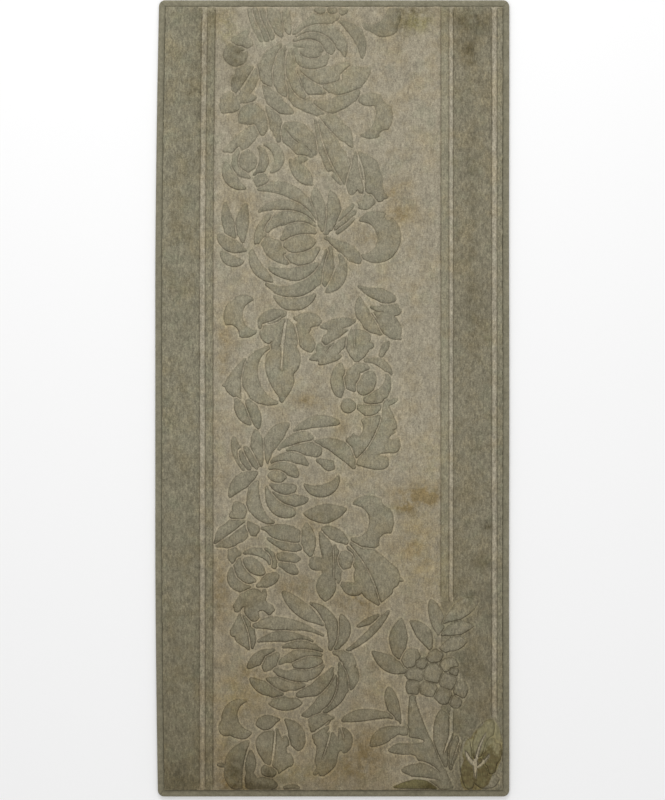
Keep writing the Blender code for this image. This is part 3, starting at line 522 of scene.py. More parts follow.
# Where the carving is closer together: an ellipse, how far the shapes spread in it and the gap they leave.
CLOSE_CARVED = [
    ((-25, 575, 105, 98, 0), 5.0, 2.4),
    ((-60, 262, 75, 80, 0), 4.4, 2.4),
    ((-20, -495, 90, 70, 0), 4.6, 2.4),
    ((172, -484, 50, 40, -18), 5.2, 1.8),
]

# Pale carved strokes in the leaves: the two ends, the bow to the left, and the width at both ends.
VEINS = [
    (-169, 519, -138, 562, -2, 3.2, 3.4),
    (-160, 595, -137, 606, -2, 3.4, 3.0),
    (-78, 147, -89, 50, 0, 3.2, 2.2),
    (-70, 143, -58, 107, 0, 3.2, 2.0),
    (-118, 129, -86, 143, -3, 2.0, 2.6),
    (31, 118, -13, 76, -2, 3.2, 2.2),
    (37, 119, 38, 86, 0, 2.6, 2.0),
    (46, 178, 88, 158, -3, 3.2, 2.0),
    (55, 171, 79, 134, -1, 3.2, 2.2),
    (-81, 463, -55, 437, -3, 2.6, 2.0),
    (43, 419, 54, 354, 5, 3.2, 2.2),
    (20, 442, 30, 402, 0, 2.4, 2.0),
    (1, -254, 2, -312, 1, 2.8, 2.0),
    (-148, -212, -183, -241, 0, 2.6, 2.2),
    (-99, -566, -105, -632, 3, 3.2, 2.2),
    (-87, -552, -76, -580, 2, 3.2, 2.0),
    (0, -558, -18, -622, 2, 3.0, 2.2),
    (9, -555, 20, -589, 2, 2.8, 2.2),
    (-4, -553, -30, -572, 2, 2.4, 2.0),
    (-141, -592, -152, -684, -6, 3.0, 3.0),
    (205.5, -531, 203.5, -582, 0, 2.6, 6.5),
    (203.5, -579, 191, -613, 0, 5.0, 2.2),
    (220, -585, 205, -631, 0, 2.2, 2.0),
    (229, -606, 245, -631, -2, 3.0, 7.0),
    (270, -612, 249, -635, 2, 2.4, 5.0),
    (246, -622, 246, -653, 0, 8.5, 2.0),
    (265, -575, 247, -626, -3, 2.2, 4.5),
    (112, -634, 187, -646, 15, 3.4, 3.0),
    (116, -653, 186, -658, 2, 6.0, 2.6),
    (120, -546, 119, -566, 0, 2.4, 2.0),
]

# Plain green under leaves that touch each other: the two ends and the reach to both sides.
GREEN_UNDER = [
    (150, -462, 200, -492, 27),
    (135, -452, 150, -490, 16),
    (205, -500, 214, -518, 13),
    (178, -384, 174, -444, 8),
    (120, -470, 132, -450, 9),
    (120, -556, 150, -600, 5),
    (128, -572, 150, -620, 4),
    (152, -640, 176, -672, 6),
    (176, -600, 205, -676, 9),
    (-8, -262, 6, -300, 6),
]

# The lower right corner where olive yarn shows, and the paler leaf in it, each a few ellipses.
OLIVE_CORNER = [
    (248, -642, 27, 32, 0),
    (271, -600, 21, 48, 0),
    (238, -612, 14, 28, 0),
    (256, -584, 30, 15, 50),
    (233, -655, 13, 19, 0),
]
PALE_LEAF = [
    (262, -582, 38, 17, 52),
    (240, -600, 18, 13, 40),
    (283, -590, 8, 22, 0),
]

# The carved lines between the stripes: x, how far the top end leans, and the ends along y.
STRIPE_LINES = [
    (-228.5, 4.5, -671.0, 671.0),
    (-218.8, 4.5, -671.0, 671.0),
    (-205.2, 4.5, -671.0, 671.0),
    (186.7, 0.0, -343.0, 671.0),
    (200.8, 0.0, -352.0, 671.0),
    (208.2, 0.0, -345.0, 671.0),
    (201.0, 0.0, -583.0, -537.0),
    (208.2, 0.0, -583.0, -537.0),
    (274.4, 0.0, -548.0, 671.0),
    (283.4, 0.0, -546.0, 671.0),
]


def stroke(x0, y0, x1, y1, bow, width0, width1):
    """The outline of a tapered stroke with rounded ends, anticlockwise."""
    length = math.hypot(x1 - x0, y1 - y0)
    ux, uy = (x1 - x0) / length, (y1 - y0) / length
    steps = max(4, round(length / 2.5))
    sides = ([], [])
    for k in range(steps + 1):
        t = k / steps
        rise = 4 * bow * t * (1 - t)
        half = 0.5 * (width0 + (width1 - width0) * t) * min(1.0, 0.35 + 4 * t, 0.35 + 4 * (1 - t))
        x, y = x0 + ux * length * t - uy * rise, y0 + uy * length * t + ux * rise
        sides[0].append((x + uy * half, y - ux * half))
        sides[1].append((x - uy * half, y + ux * half))
    return np.array(sides[0] + sides[1][::-1])


def in_green(x, y):
    """Whether a place is in the plain green under touching leaves."""
    for x0, y0, x1, y1, reach in GREEN_UNDER:
        dx, dy = x1 - x0, y1 - y0
        t = max(0.0, min(1.0, ((x - x0) * dx + (y - y0) * dy) / (dx * dx + dy * dy)))
        if (x - x0 - t * dx) ** 2 + (y - y0 - t * dy) ** 2 < reach * reach:
            return True
    return False


def line_x(line, y):
    """The x of a carved line at y, with the small waver of hand cutting."""
    x, lean, _, _ = line
    waver = 0.55 * bumpy(x * 0.37, y / 26.0, 1, 0) + 0.35 * bumpy(x, y / 8.0, 1, 4)
    return x + lean * slow_drift(y) + waver


class PointStore:
    """Keeps points at least a given distance apart, with the first ones put in having priority."""

    def __init__(self):
        self.grid = {}
        self.points = []

    def key(self, x, y):
        return math.floor(x / STORE_CELL), math.floor(y / STORE_CELL)

    def clear_of(self, x, y, gap):
        kx, ky = self.key(x, y)
        reach = math.ceil(gap / STORE_CELL)
        for i in range(kx - reach, kx + reach + 1):
            for j in range(ky - reach, ky + reach + 1):
                for qx, qy in self.grid.get((i, j), ()):
                    if (qx - x) ** 2 + (qy - y) ** 2 < gap * gap:
                        return False
        return True

    def put(self, x, y):
        self.grid.setdefault(self.key(x, y), []).append((x, y))
        self.points.append((x, y))


def tree_of(points):
    tree = kdtree.KDTree(len(points))
    for i, (x, y) in enumerate(points):
        tree.insert((x, y, 0.0), i)
    tree.balance()
    return tree


def dense(loops, step=0.7):
    """Points along all loops, close together, and for each how far its outer side faces the bottom end."""
    points, facing = [], []
    for loop in loops:
        after = np.roll(loop, -1, axis=0)
        for a, b in zip(loop, after):
            size = float(np.linalg.norm(b - a))
            count = max(1, int(size / step))
            points += [tuple(a + (b - a) * k / count) for k in range(count)]
            facing += [0.5 + 0.5 * (b[0] - a[0]) / size] * count
    return points, facing


# The pile's top seen from above: its points and triangles, the points of its border, the motif outlines, a
# tree of close points along those, and how far each of these faces the bottom end.
Plan = namedtuple("Plan", "points faces border motifs rim_tree facing")


def pile_plan():
    """Where the points of the pile's top lie, closest together along the carving."""
    motifs = motif_outlines()
    rim, facing = dense(motifs)
    motif_tree = tree_of(rim)
    store = PointStore()
    edges = []

    def add_chain(points, closed):
        first = len(store.points)
        for x, y in points:
            store.put(float(x), float(y))
        last = len(store.points) - 1
        edges.extend((k, k + 1) for k in range(first, last))
        if closed:
            edges.append((last, first))

    border = outline_ring(TAPE_COVER + FIT_GAP + PILE_EDGE_BEVEL, 3.0)
    add_chain(border, True)
    for motif in motifs:
        add_chain(motif, True)
    for line in STRIPE_LINES:
        add_chain([(line_x(line, y), y) for y in evenly(line[2], line[3], 4.0)], False)

    field = np.array(outline_ring(TAPE_COVER + FIT_GAP + PILE_EDGE_BEVEL + 1.2))

    def add_free(points, own_gap, spacing):
        points = np.array(points)
        for (x, y), ok in zip(points, inside(*points.T, field)):
            if not ok or motif_tree.find((x, y, 0.0))[2] < own_gap:
                continue
            if store.clear_of(x, y, spacing):
                store.put(float(x), float(y))

    def add_row(reach, own_gap, spacing):
        for motif in motifs:
            add_free(shifted(motif, reach), own_gap, spacing)

    add_row(GROOVE_OUT, GROOVE_OUT * 0.8, 0.5)
    add_row(BANK_OUT, BANK_OUT * 0.85, 0.75)
    add_row(-SHOULDER_IN, 1.05, CLOSEST_POINTS)
    for line in STRIPE_LINES:
        for side in (-STRIPE_BANK, STRIPE_BANK):
            ys = evenly(line[2] + 2, line[3] - 2, 4.5)
            add_free([(line_x(line, y) + side, y) for y in ys], 1.0, CLOSEST_POINTS)
    add_row(LIP_OUT, 2.1, 1.9)
    rng = random.Random(SEED)
    for step, near in ((FILL_STEP_NEAR, True), (FILL_STEP_FAR, False)):
        rows = int(RUG_LENGTH / (step * 0.87))
        cols = int(RUG_WIDTH / step)
        grid = []
        for j in range(rows):
            y = -RUG_LENGTH / 2 + (j + 0.5) * step * 0.87
            for i in range(cols):
                x = -RUG_WIDTH / 2 + (i + 0.25 + 0.5 * (j % 2)) * step
                x += rng.uniform(-0.22, 0.22) * step
                wobble = rng.uniform(-0.22, 0.22) * step
                if near and motif_tree.find((x, y + wobble, 0.0))[2] > NEAR_REACH:
                    continue
                grid.append((x, y + wobble))
        add_free(grid, 1.3 if near else 2.0, step * 0.72)
    found = delaunay_2d_cdt([Vector(p) for p in store.points], edges, [], 0, 1e-5)
    verts = np.array([(v.x, v.y) for v in found[0]])
    faces = np.array([list(f) for f in found[2]])
    faces = faces[inside(*verts[faces].mean(axis=1).T, border)]
    place = {}
    for index, sources in enumerate(found[3]):
        for source in sources:
            place[source] = index
    return Plan(verts, faces, [place[k] for k in range(len(border))], motifs, motif_tree, facing)


def motif_index(points, motifs):
    """For each point, the motif that it is in, or -1."""
    index = np.full(len(points), -1)
    order = sorted(range(len(motifs)), key=lambda k: signed_area(motifs[k]) < 0)
    for k in order:
        motif = motifs[k]
        low, high = motif.min(axis=0), motif.max(axis=0)
        near = np.nonzero(((points >= low) & (points <= high)).all(axis=1))[0]
        if len(near):
            index[near[inside(*points[near].T, motif)]] = k if signed_area(motif) > 0 else -1
    return index


def distance_to_line(x, y):
    """The distance to the nearest carved line between stripes."""
    best = 99.0
    for line in STRIPE_LINES:
        if abs(x - line[0]) < 12 and line[2] - 1 < y < line[3] + 1:
            end = min(y - line[2], line[3] - y)
            best = min(best, abs(x - line_x(line, y)) + max(0.0, 3 - end) * 0.5)
    return best


# The stripes from left to right: where each ends, its yarn, and from where up it is there.
LOW_END = -RUG_LENGTH
STRIPES = [
    (-228.5, BAND_GREEN, LOW_END),
    (-218.8, PALE, LOW_END),
    (-205.2, STRIPE_LEFT, LOW_END),
    (186.7, BEIGE, LOW_END),
    (200.8, STRIPE_RIGHT, -350),
    (208.2, PALE, -347),
    (274.4, BROAD_GREEN, LOW_END),
    (283.4, PALE, -549),
    (RUG_WIDTH, OUTER_GREEN, LOW_END),
]


def yarn_of(x, y, motif, tints):
    """The yarn colour at a place on the rug."""
    if motif >= 0:
        return [c * tints[motif][0] for c in tints[motif][1]]
    if in_green(x, y):
        return GREY_GREEN
    lean = 4.5 * slow_drift(y) if x < 0 else 0.0
    for end, yarn, low in STRIPES:
        if x - lean < end:
            return yarn if y > low else BROAD_GREEN


# Marks left by use: x, y, reach across, reach along and how strong.
BROWN_MARKS = [
    (145, -165, 45, 20, 1.16),
    (125, -188, 22, 9, 1.24),
    (165, -172, 18, 12, 1.08),
    (146, -258, 38, 22, 0.4),
    (118, 318, 30, 20, 0.85),
    (105, 352, 18, 16, 0.7),
    (128, 368, 16, 14, 0.62),
    (-40, -5, 40, 16, 0.78),
    (18, -48, 16, 22, 0.4),
    (60, 275, 25, 18, 0.54),
    (-186, 110, 16, 30, 0.62),
    (-188, 60, 12, 30, 0.54),
    (-190, -140, 12, 25, 0.62),
    (-192, -330, 14, 60, 0.78),
    (-60, -325, 40, 24, 0.85),
    (40, -350, 40, 20, 0.85),
    (80, -460, 30, 24, 0.3),
    (30, -640, 60, 30, 0.7),
    (-180, -660, 22, 22, 1.08),
    (60, -600, 30, 40, 0.78),
    (-140, -470, 24, 20, 0.62),
    (60, -380, 60, 40, 0.2),
    (-20, -210, 50, 24, 0.5),
    (-150, 330, 20, 24, 0.5),
]
DARK_MARKS = [
    (266, -222, 9, 8, 1.32),
    (243, 648, 40, 22, 0.93),
    (235, 600, 18, 24, 0.62),
    (258, -280, 18, 12, 0.93),
    (240, -460, 28, 30, 0.54),
    (-168, 590, 22, 22, 0.78),
    (-165, 550, 20, 14, 0.7),
    (-165, -640, 28, 36, 0.85),
    (-135, -672, 45, 14, 0.85),
    (-110, -645, 14, 10, 0.78),
    (250, -650, 30, 20, 0.25),
    (165, -668, 16, 9, 0.93),
    (122, 640, 18, 26, 0.5),
    (-140, -352, 24, 18, 0.35),
    (-165, 490, 18, 20, 0.25),
    (-185, 655, 30, 26, 0.3),
    (-100, -662, 70, 16, 0.35),
    (-150, -530, 34, 22, 0.25),
    (55, 620, 40, 30, 0.22),
    (238, 585, 14, 16, 0.4),
    (238, 525, 16, 12, 0.35),
    (130, -198, 28, 10, 0.4),
    (5, -62, 24, 40, 0.22),
    (235, -345, 24, 16, 0.54),
    (245, 150, 26, 40, 0.39),
    (-222, 560, 24, 150, 0.42),
    (-262, -655, 44, 34, 0.6),
    (150, 668, 40, 12, 0.6),
    (240, 300, 14, 330, 0.25),
    (288, -20, 8, 150, 0.35),
    (130, 660, 90, 50, 0.28),
    (-50, 672, 50, 24, 0.28),
]
OLIVE_MARKS = [
    (145, 648, 28, 20, 0.93),
    (-185, 640, 20, 30, 0.62),
]
YELLOW_MARKS = [
    (-155, -510, 50, 44, 0.95),
    (-185, -600, 18, 36, 0.8),
    (-60, -645, 50, 22, 0.8),
    (170, -105, 30, 46, 0.6),
    (160, -290, 70, 60, 0.7),
    (90, -500, 34, 24, 0.6),
    (50, -140, 34, 20, 0.5),
    (-196, -90, 14, 30, 0.5),
    (145, -215, 30, 30, 0.6),
]
MARKS = {"brown": BROWN_MARKS, "dark": DARK_MARKS, "olive": OLIVE_MARKS, "yellow": YELLOW_MARKS}


def marking(x, y, kind):
    """How much marking of a kind there is at a place."""
    total = 0.0
    for mx, my, across, along, strength in MARKS[kind]:
        u, v = (x - mx) / across, (y - my) / along
        r2 = u * u + v * v
        if r2 < 4.5:
            total += strength * math.exp(-1.3 * r2)
    return min(1.3, total)


def motif_tints(motifs, rng):
    """How light each motif is, and its yarn."""
    tints = []
    for motif in motifs:
        cx, cy = motif.mean(axis=0)
        base = OLIVE if 100 < cx < 190 and cy < -655 else GREY_GREEN
        tints.append((rng.uniform(0.94, 1.05), base))
    return tints


def carve(plan, rng):
    """The height of each point of the pile's top, and the values that its material reads there."""
    index = motif_index(plan.points, plan.motifs)
    heights = np.zeros(len(index))
    layers = {name: np.zeros(len(index)) for name in ("edge", "stripe", "lee", *MARKS)}
    for i, (x, y) in enumerate(plan.points):
        _, nearest, gap = plan.rim_tree.find((x, y, 0.0))
        swell = 0.35 * bumpy(x, y, 70, 0) + 0.22 * bumpy(x, y, 13, 5)
        swell += 0.16 * bumpy(x / 3.1, y / 4.4, 1, 9) + rng.uniform(-0.07, 0.07)
        raised = index[i] >= 0 or gap < 0.05
        if raised:
            rise = np.interp(gap, (0.0, 0.7, 1.6, 3.5, 8.0), (0.0, 0.75, 1.25, 1.65, 1.95))
        else:
            rise = np.interp(gap, (0.0, GROOVE_OUT, BANK_OUT, 2.2), (0.0, -0.6, 0.0, 0.0))
        heights[i] = GROUND_HEIGHT + rise + swell
        line_gap = distance_to_line(x, y)
        if line_gap < 4:
            heights[i] += np.interp(line_gap, (0.0, 0.8, 1.9, 3.2), (-2.4, -1.7, -0.3, 0.0))
        # The edge, stripe and lee values place the material's painted highlight, painted shade and painted
        # shadow lines round the carving. Lee says how far the nearest outline faces the bottom end.
        layers["edge"][i] = min(gap, FARTHEST_READ) * (-1 if raised else 1)
        layers["stripe"][i] = min(line_gap, FARTHEST_READ)
        layers["lee"][i] = plan.facing[nearest]
        for kind in MARKS:
            layers[kind][i] = marking(x, y, kind)
    heights[plan.border] = GROUND_HEIGHT - 0.9
    x, y = plan.points.T
    corner = np.min([lobe_distance(x, y, lobe) for lobe in OLIVE_CORNER], axis=0)
    close = corner < 6
    vein_gap = np.min([loop_distance(x[close], y[close], stroke(*vein)) for vein in VEINS], axis=0)
    corner[close] = np.maximum(corner[close], VEIN_HALO - vein_gap)
    layers["corner"] = corner
    layers["pale_leaf"] = np.min([lobe_distance(x, y, lobe) for lobe in PALE_LEAF], axis=0)
    return heights, layers


def add_walls(verts, faces, border):
    """The ragged pile edge, the groove for the tape and the foundation's edge, down to the underside."""
    wall = TAPE_COVER + FIT_GAP
    tongue = TAPE_THICKNESS + FIT_GAP
    rings = [
        (wall - 0.35, GROUND_HEIGHT - 1.5, 0.55), (wall - 0.45, GROUND_HEIGHT - 2.6, 0.45),
        (wall + 0.1, 6.9, 0.1), (wall, TONGUE_HIGH, 0.0), (tongue, TONGUE_HIGH, 0.0),
        (tongue, TONGUE_LOW, 0.0), (wall, TONGUE_LOW, 0.0), (wall, 0.0, 0.0),
    ]
    size = len(border)
    for inset, height, ragged in rings:
        here = list(range(len(verts), len(verts) + size))
        near, far = outline_ring(inset, 3.0), outline_ring(inset + 1.0, 3.0)
        for (x, y), (fx, fy) in zip(near, far):
            push = ragged * (1.1 * bumpy(x, y, 5, 3) + 0.9 * bumpy(x, y, 17, 6))
            verts.append((x + (x - fx) * push, y + (y - fy) * push, height + 0.5 * push))
        for k in range(size):
            j = (k + 1) % size
            faces.append((border[k], here[k], here[j], border[j]))
        border = here
    return border


def add_back(verts, faces, rim):
    """The flat underside within its rim."""
    size = len(rim)
    back = outline_ring(TAPE_COVER + FIT_GAP, 3.0)
    grid = [(x * 20.0, y * 20.0) for x in range(-14, 15) for y in range(-33, 34)]
    edges = [(k, (k + 1) % size) for k in range(size)]
    found = delaunay_2d_cdt([Vector(p) for p in back + grid], edges, [], 1, 1e-5)
    place = {}
    for k, (v, sources) in enumerate(zip(found[0], found[3])):
        source = min(sources)
        if source < size:
            place[k] = rim[source]
        else:
            place[k] = len(verts)
            verts.append((v.x, v.y, 0.0))
    faces += [tuple(place[i] for i in f)[::-1] for f in found[2]]


def face_yarns(plan, verts, faces, back_start, tints):
    """The yarn colour of each face, with pale veins in the leaves."""
    centres = plan.points[plan.faces].mean(axis=1)
    motif = motif_index(centres, plan.motifs)
    near_vein = np.zeros(len(centres), dtype=bool)
    for vein in VEINS:
        near_vein |= loop_distance(*centres.T, stroke(*vein)) < VEIN_HALO
    colours = np.ones((len(faces), 4))
    for k, face in enumerate(faces):
        if k >= back_start:
            colours[k, :3] = BACK_COLOUR
        elif k >= len(centres):
            x, y, _ = verts[face[0]]
            colours[k, :3] = yarn_of(x * 0.98, y * 0.99, -1, tints)
        elif near_vein[k] and motif[k] < 0:
            colours[k, :3] = PALE
        else:
            colours[k, :3] = yarn_of(*centres[k], motif[k], tints)
    return colours


def build_pile():
    """The pile and foundation as one closed cloth body."""
    plan = pile_plan()
    rng = random.Random(SEED + 1)
    tints = motif_tints(plan.motifs, rng)
    heights, layers = carve(plan, rng)
    verts = [(x, y, h) for (x, y), h in zip(plan.points, heights)]
    faces = [tuple(f) for f in plan.faces.tolist()]
    rim = add_walls(verts, faces, plan.border)
    back_start = len(faces)
    add_back(verts, faces, rim)
    mesh = new_mesh("pile_rug", verts, faces)
    colours = face_yarns(plan, verts, faces, back_start, tints)
    yarn = mesh.attributes.new("yarn", "FLOAT_COLOR", "CORNER")
    yarn.data.foreach_set("color", np.repeat(colours, [len(f) for f in faces], axis=0).ravel())
    rest = np.zeros(len(verts) - len(heights))
    for name, values in layers.items():
        layer = mesh.attributes.new(name, "FLOAT", "POINT")
        layer.data.foreach_set("value", np.concatenate([values, rest]).astype(np.float32))
    for k, face in enumerate(mesh.polygons):
        face.use_smooth = k < len(plan.faces)
        face.material_index = int(k >= back_start)
    return new_object("pile_rug", mesh)


class Nodes:
    """Short helpers to write a material's node tree."""

    def __init__(self, name):
        self.material = bpy.data.materials.new(name)
        self.material.use_nodes = True
        self.tree = self.material.node_tree
        self.tree.nodes.clear()
        self.shader = self.add("BsdfPrincipled")
        self.put(self.shader.outputs[0], self.add("OutputMaterial").inputs[0])

    def add(self, kind):
        return self.tree.nodes.new("ShaderNode" + kind)

    def put(self, value, socket):
        if isinstance(value, bpy.types.NodeSocket):
            self.tree.links.new(value, socket)
        elif socket.type == "RGBA":
            socket.default_value = (*value, 1.0)
        else:
            socket.default_value = value

    def fill(self, node, inputs):
        """Links or sets the named or numbered inputs of a node."""
        for key, value in inputs.items():
            self.put(value, node.inputs[key])
        return node

    def place(self, squeeze=1.0):
        """The place on the object in metres, with patterns on it drawn out along y by a squeeze under 1."""
        inputs = {"Vector": self.add("TexCoord").outputs["Object"], "Scale": (1, squeeze, 1)}
        return self.fill(self.add("Mapping"), inputs).outputs["Vector"]

    def axis(self, name):
        """One coordinate of the place, in metres."""
        return self.fill(self.add("SeparateXYZ"), {0: self.place()}).outputs[name]

    def attribute(self, name, output="Fac"):
        node = self.add("Attribute")
        node.attribute_name = name
        return node.outputs[output]

    def noise(self, scale, detail=2.0, rough=0.5, warp=0.0, squeeze=1.0):
        inputs = {"Vector": self.place(squeeze), "Scale": scale, "Detail": detail, "Roughness": rough,
                  "Distortion": warp}
        return self.fill(self.add("TexNoise"), inputs).outputs["Fac"]

    def cells(self, scale, spread, squeeze):
        inputs = {"Vector": self.place(squeeze), "Scale": scale, "Randomness": spread}
        return self.fill(self.add("TexVoronoi"), inputs).outputs["Distance"]

    def math(self, kind, a, b=0.0, clamp=False):
        node = self.add("Math")
        node.operation = kind
        node.use_clamp = clamp
        return self.fill(node, {0: a, 1: b}).outputs[0]

    def sum(self, a, b):
        return self.math("ADD", a, b)

    def times(self, a, b, clamp=False):
        return self.math("MULTIPLY", a, b, clamp)

    def swing(self, value, size):
        """A noise value as a swing round zero."""
        return self.times(self.math("SUBTRACT", value, 0.5), size)

    def remap(self, value, low, high, to_low=0.0, to_high=1.0):
        inputs = {"Value": value, "From Min": low, "From Max": high, "To Min": to_low, "To Max": to_high}
        return self.fill(self.add("MapRange"), inputs).outputs["Result"]

    def mix(self, factor, a, b, kind="MIX"):
        node = self.add("Mix")
        node.data_type = "RGBA"
        node.blend_type = kind
        return self.fill(node, {0: factor, 6: a, 7: b}).outputs[2]

    def tint(self, colour, amount, tone):
        """The colour multiplied by a tone, as far as the amount says."""
        return self.mix(amount, colour, self.mix(1.0, colour, tone, "MULTIPLY"))

    def shade(self, colour, value, low, high, to_low, to_high):
        """The colour made lighter or darker by a value remapped to around 1."""
        value = self.remap(value, low, high, to_low, to_high)
        grey = self.fill(self.add("CombineColor"), {0: value, 1: value, 2: value})
        return self.mix(1.0, colour, grey.outputs[0], "MULTIPLY")

    def bump(self, height, strength, distance):
        inputs = {"Height": height, "Strength": strength, "Distance": distance}
        return self.fill(self.add("Bump"), inputs).outputs["Normal"]

    def finish(self, colour, roughness, sheen, normal=None):
        inputs = {"Base Color": colour, "Roughness": roughness, "Specular IOR Level": 0.15,
                  "Sheen Weight": sheen, "Sheen Roughness": 0.55, "Sheen Tint": (0.95, 0.90, 0.80)}
        if normal is not None:
            inputs["Normal"] = normal
        self.fill(self.shader, inputs)
        return self.material


def darker_to_bottom(n, colour, most):
    """Darkens and browns a colour toward the bottom end, with uneven edges."""
    uneven = n.noise(9.0, 3.0, 0.6)
    along = n.sum(n.axis("Y"), n.swing(uneven, 0.35))
    patchy_amount = n.remap(along, -0.05, -0.68, 0.0, most)
    patchy_amount = n.times(patchy_amount, n.remap(n.axis("X"), 0.02, 0.24, 1.0, 0.78))
    return n.tint(colour, patchy_amount, (0.62, 0.57, 0.485))


def yarn_colour(n, streak, tuft, knots):
    """The dyed yarn with its grain, and with the olive leaf in the lower right corner."""
    colour = n.shade(n.attribute("yarn", "Color"), n.noise(14.0, 3.0, 0.6), 0.3, 0.7, 0.95, 1.04)
    patch = n.noise(75.0, 2.0, 0.6, squeeze=0.8)
    colour = n.shade(colour, patch, 0.3, 0.7, 0.86, 1.10)
    colour = n.shade(colour, streak, 0.3, 0.7, 0.80, 1.18)
    colour = n.shade(colour, tuft, 0.3, 0.7, 0.80, 1.18)
    colour = n.shade(colour, knots, 0.0, 0.9, 1.10, 0.84)
    band = n.remap(n.math("ABSOLUTE", n.axis("X")), 0.195, 0.21)
    colour = n.mix(band, colour, n.shade(colour, streak, 0.3, 0.7, 0.90, 1.10))
    ragged = n.swing(n.noise(110.0, 3.0, 0.6), 26.0)
    tone = n.noise(95.0, 3.0, 0.6, squeeze=1.3)
    olive = n.mix(n.remap(tone, 0.42, 0.62), OLIVE_DARK, OLIVE)
    leaf = n.remap(n.sum(n.attribute("pale_leaf"), ragged), -2.0, 3.0, 0.95, 0.0)
    olive = n.shade(n.mix(leaf, olive, OLIVE_LIGHT), streak, 0.3, 0.7, 0.75, 1.25)
    corner = n.sum(n.attribute("corner"), n.times(ragged, 0.2))
    return n.mix(n.remap(corner, -0.8, 0.8, 1.0, 0.0), colour, olive)


def faded(n, colour):
    """Warm and cool clouds, and the marks left by use."""
    warm = n.noise(24.0, 4.0, 0.65)
    colour = n.tint(colour, n.remap(warm, 0.46, 0.66, 0.0, 0.6), (1.0, 0.925, 0.78))
    cool = n.noise(32.0, 3.0, 0.6, 0.4)
    colour = n.tint(colour, n.remap(cool, 0.52, 0.70, 0.0, 0.45), (0.90, 0.98, 0.95))
    torn = n.remap(n.noise(55.0, 4.0, 0.7), 0.35, 0.62, 0.25, 1.25)
    for kind, tone in MARK_TONES.items():
        colour = n.tint(colour, n.times(n.attribute(kind), torn, True), tone)
    return darker_to_bottom(n, colour, 0.78)


def carved(n, colour):
    """Painted light round the carving: a painted highlight on the bank outside each raised shape, painted
    shade on its flank and a painted shadow line in the cut round it, all three weaker toward the top end,
    and painted shade in the cut lines between stripes.
    """
    waver = n.swing(n.noise(520.0, 2.0, 0.6), 1.5)
    edge = n.sum(n.attribute("edge"), waver)
    # How strong the painted highlight, shade and shadow line are: weaker toward the top end, stronger toward
    # the bottom end.
    painted_relief_strength = n.remap(n.axis("Y"), 0.62, -0.45, 0.42, 1.26)
    # Painted highlight on the bank just outside each raised shape.
    bank_highlight = n.times(n.remap(edge, 0.35, 0.9), n.remap(edge, 1.8, 4.6, 1.0, 0.0))
    colour = n.tint(colour, n.times(bank_highlight, n.times(painted_relief_strength, 0.87), True), (1.30, 1.29, 1.26))
    # Painted shade in patches on the flank just inside each raised shape.
    flank_shade = n.remap(n.noise(60.0, 3.0, 0.65, squeeze=1.2), 0.40, 0.62)
    flank_shade = n.times(flank_shade, n.remap(edge, -5.0, -0.8, 0.25, 1.0))
    flank_shade = n.times(flank_shade, n.remap(edge, -0.8, -0.1, 1.0, 0.0))
    colour = n.tint(colour, n.times(flank_shade, painted_relief_strength, True), (0.86, 0.855, 0.82))
    # Painted shadow line in the cut round each raised shape. It is uneven along its length and strongest
    # where the outline faces the bottom end.
    patchy_amount = n.remap(n.noise(40.0, 3.0, 0.6), 0.35, 0.65, 0.3, 1.3)
    line = n.remap(n.math("ABSOLUTE", n.sum(edge, 0.3)), 0.25, 1.15, 1.0, 0.0)
    line = n.times(line, n.times(patchy_amount, painted_relief_strength))
    line = n.times(line, n.remap(n.attribute("lee"), 0.2, 0.8, 0.45, 1.15), True)
    colour = n.tint(colour, line, (0.50, 0.48, 0.44))
    # Painted shade in the carved lines between the stripes.
    stripe = n.remap(n.sum(n.attribute("stripe"), n.times(waver, 0.6)), 0.4, 1.4, 1.0, 0.0)
    return n.tint(colour, n.times(stripe, 0.7), (0.60, 0.58, 0.54))


def pile_material():
    n = Nodes("carved_wool_pile")
    streak = n.noise(330.0, 2.0, 0.65, squeeze=0.4)
    tuft = n.noise(640.0, 2.0, 0.6, squeeze=0.75)
    knots = n.cells(330.0, 0.8, 0.85)
    colour = carved(n, faded(n, yarn_colour(n, streak, tuft, knots)))
    height = n.sum(n.times(streak, 0.6), n.times(tuft, 0.5))
    height = n.math("SUBTRACT", height, n.times(knots, 0.55))
    return n.finish(colour, 0.96, 0.10, n.bump(height, 0.9, 0.0012))


def back_material():
    n = Nodes("knotted_back")
    rows = n.fill(n.add("TexBrick"), {
        "Vector": n.place(), "Scale": 1.0, "Brick Width": 0.0034, "Row Height": 0.0017,
        "Color1": (0.33, 0.29, 0.21), "Color2": (0.28, 0.25, 0.18),
        "Mortar": (0.46, 0.43, 0.36), "Mortar Size": 0.00025, "Mortar Smooth": 0.6,
    })
    colour = n.shade(rows.outputs["Color"], n.noise(60.0, 3.0, 0.6), 0.3, 0.7, 0.9, 1.08)
    height = n.math("SUBTRACT", 1.0, rows.outputs["Fac"])
    return n.finish(colour, 0.95, 0.1, n.bump(height, 0.6, 0.0006))


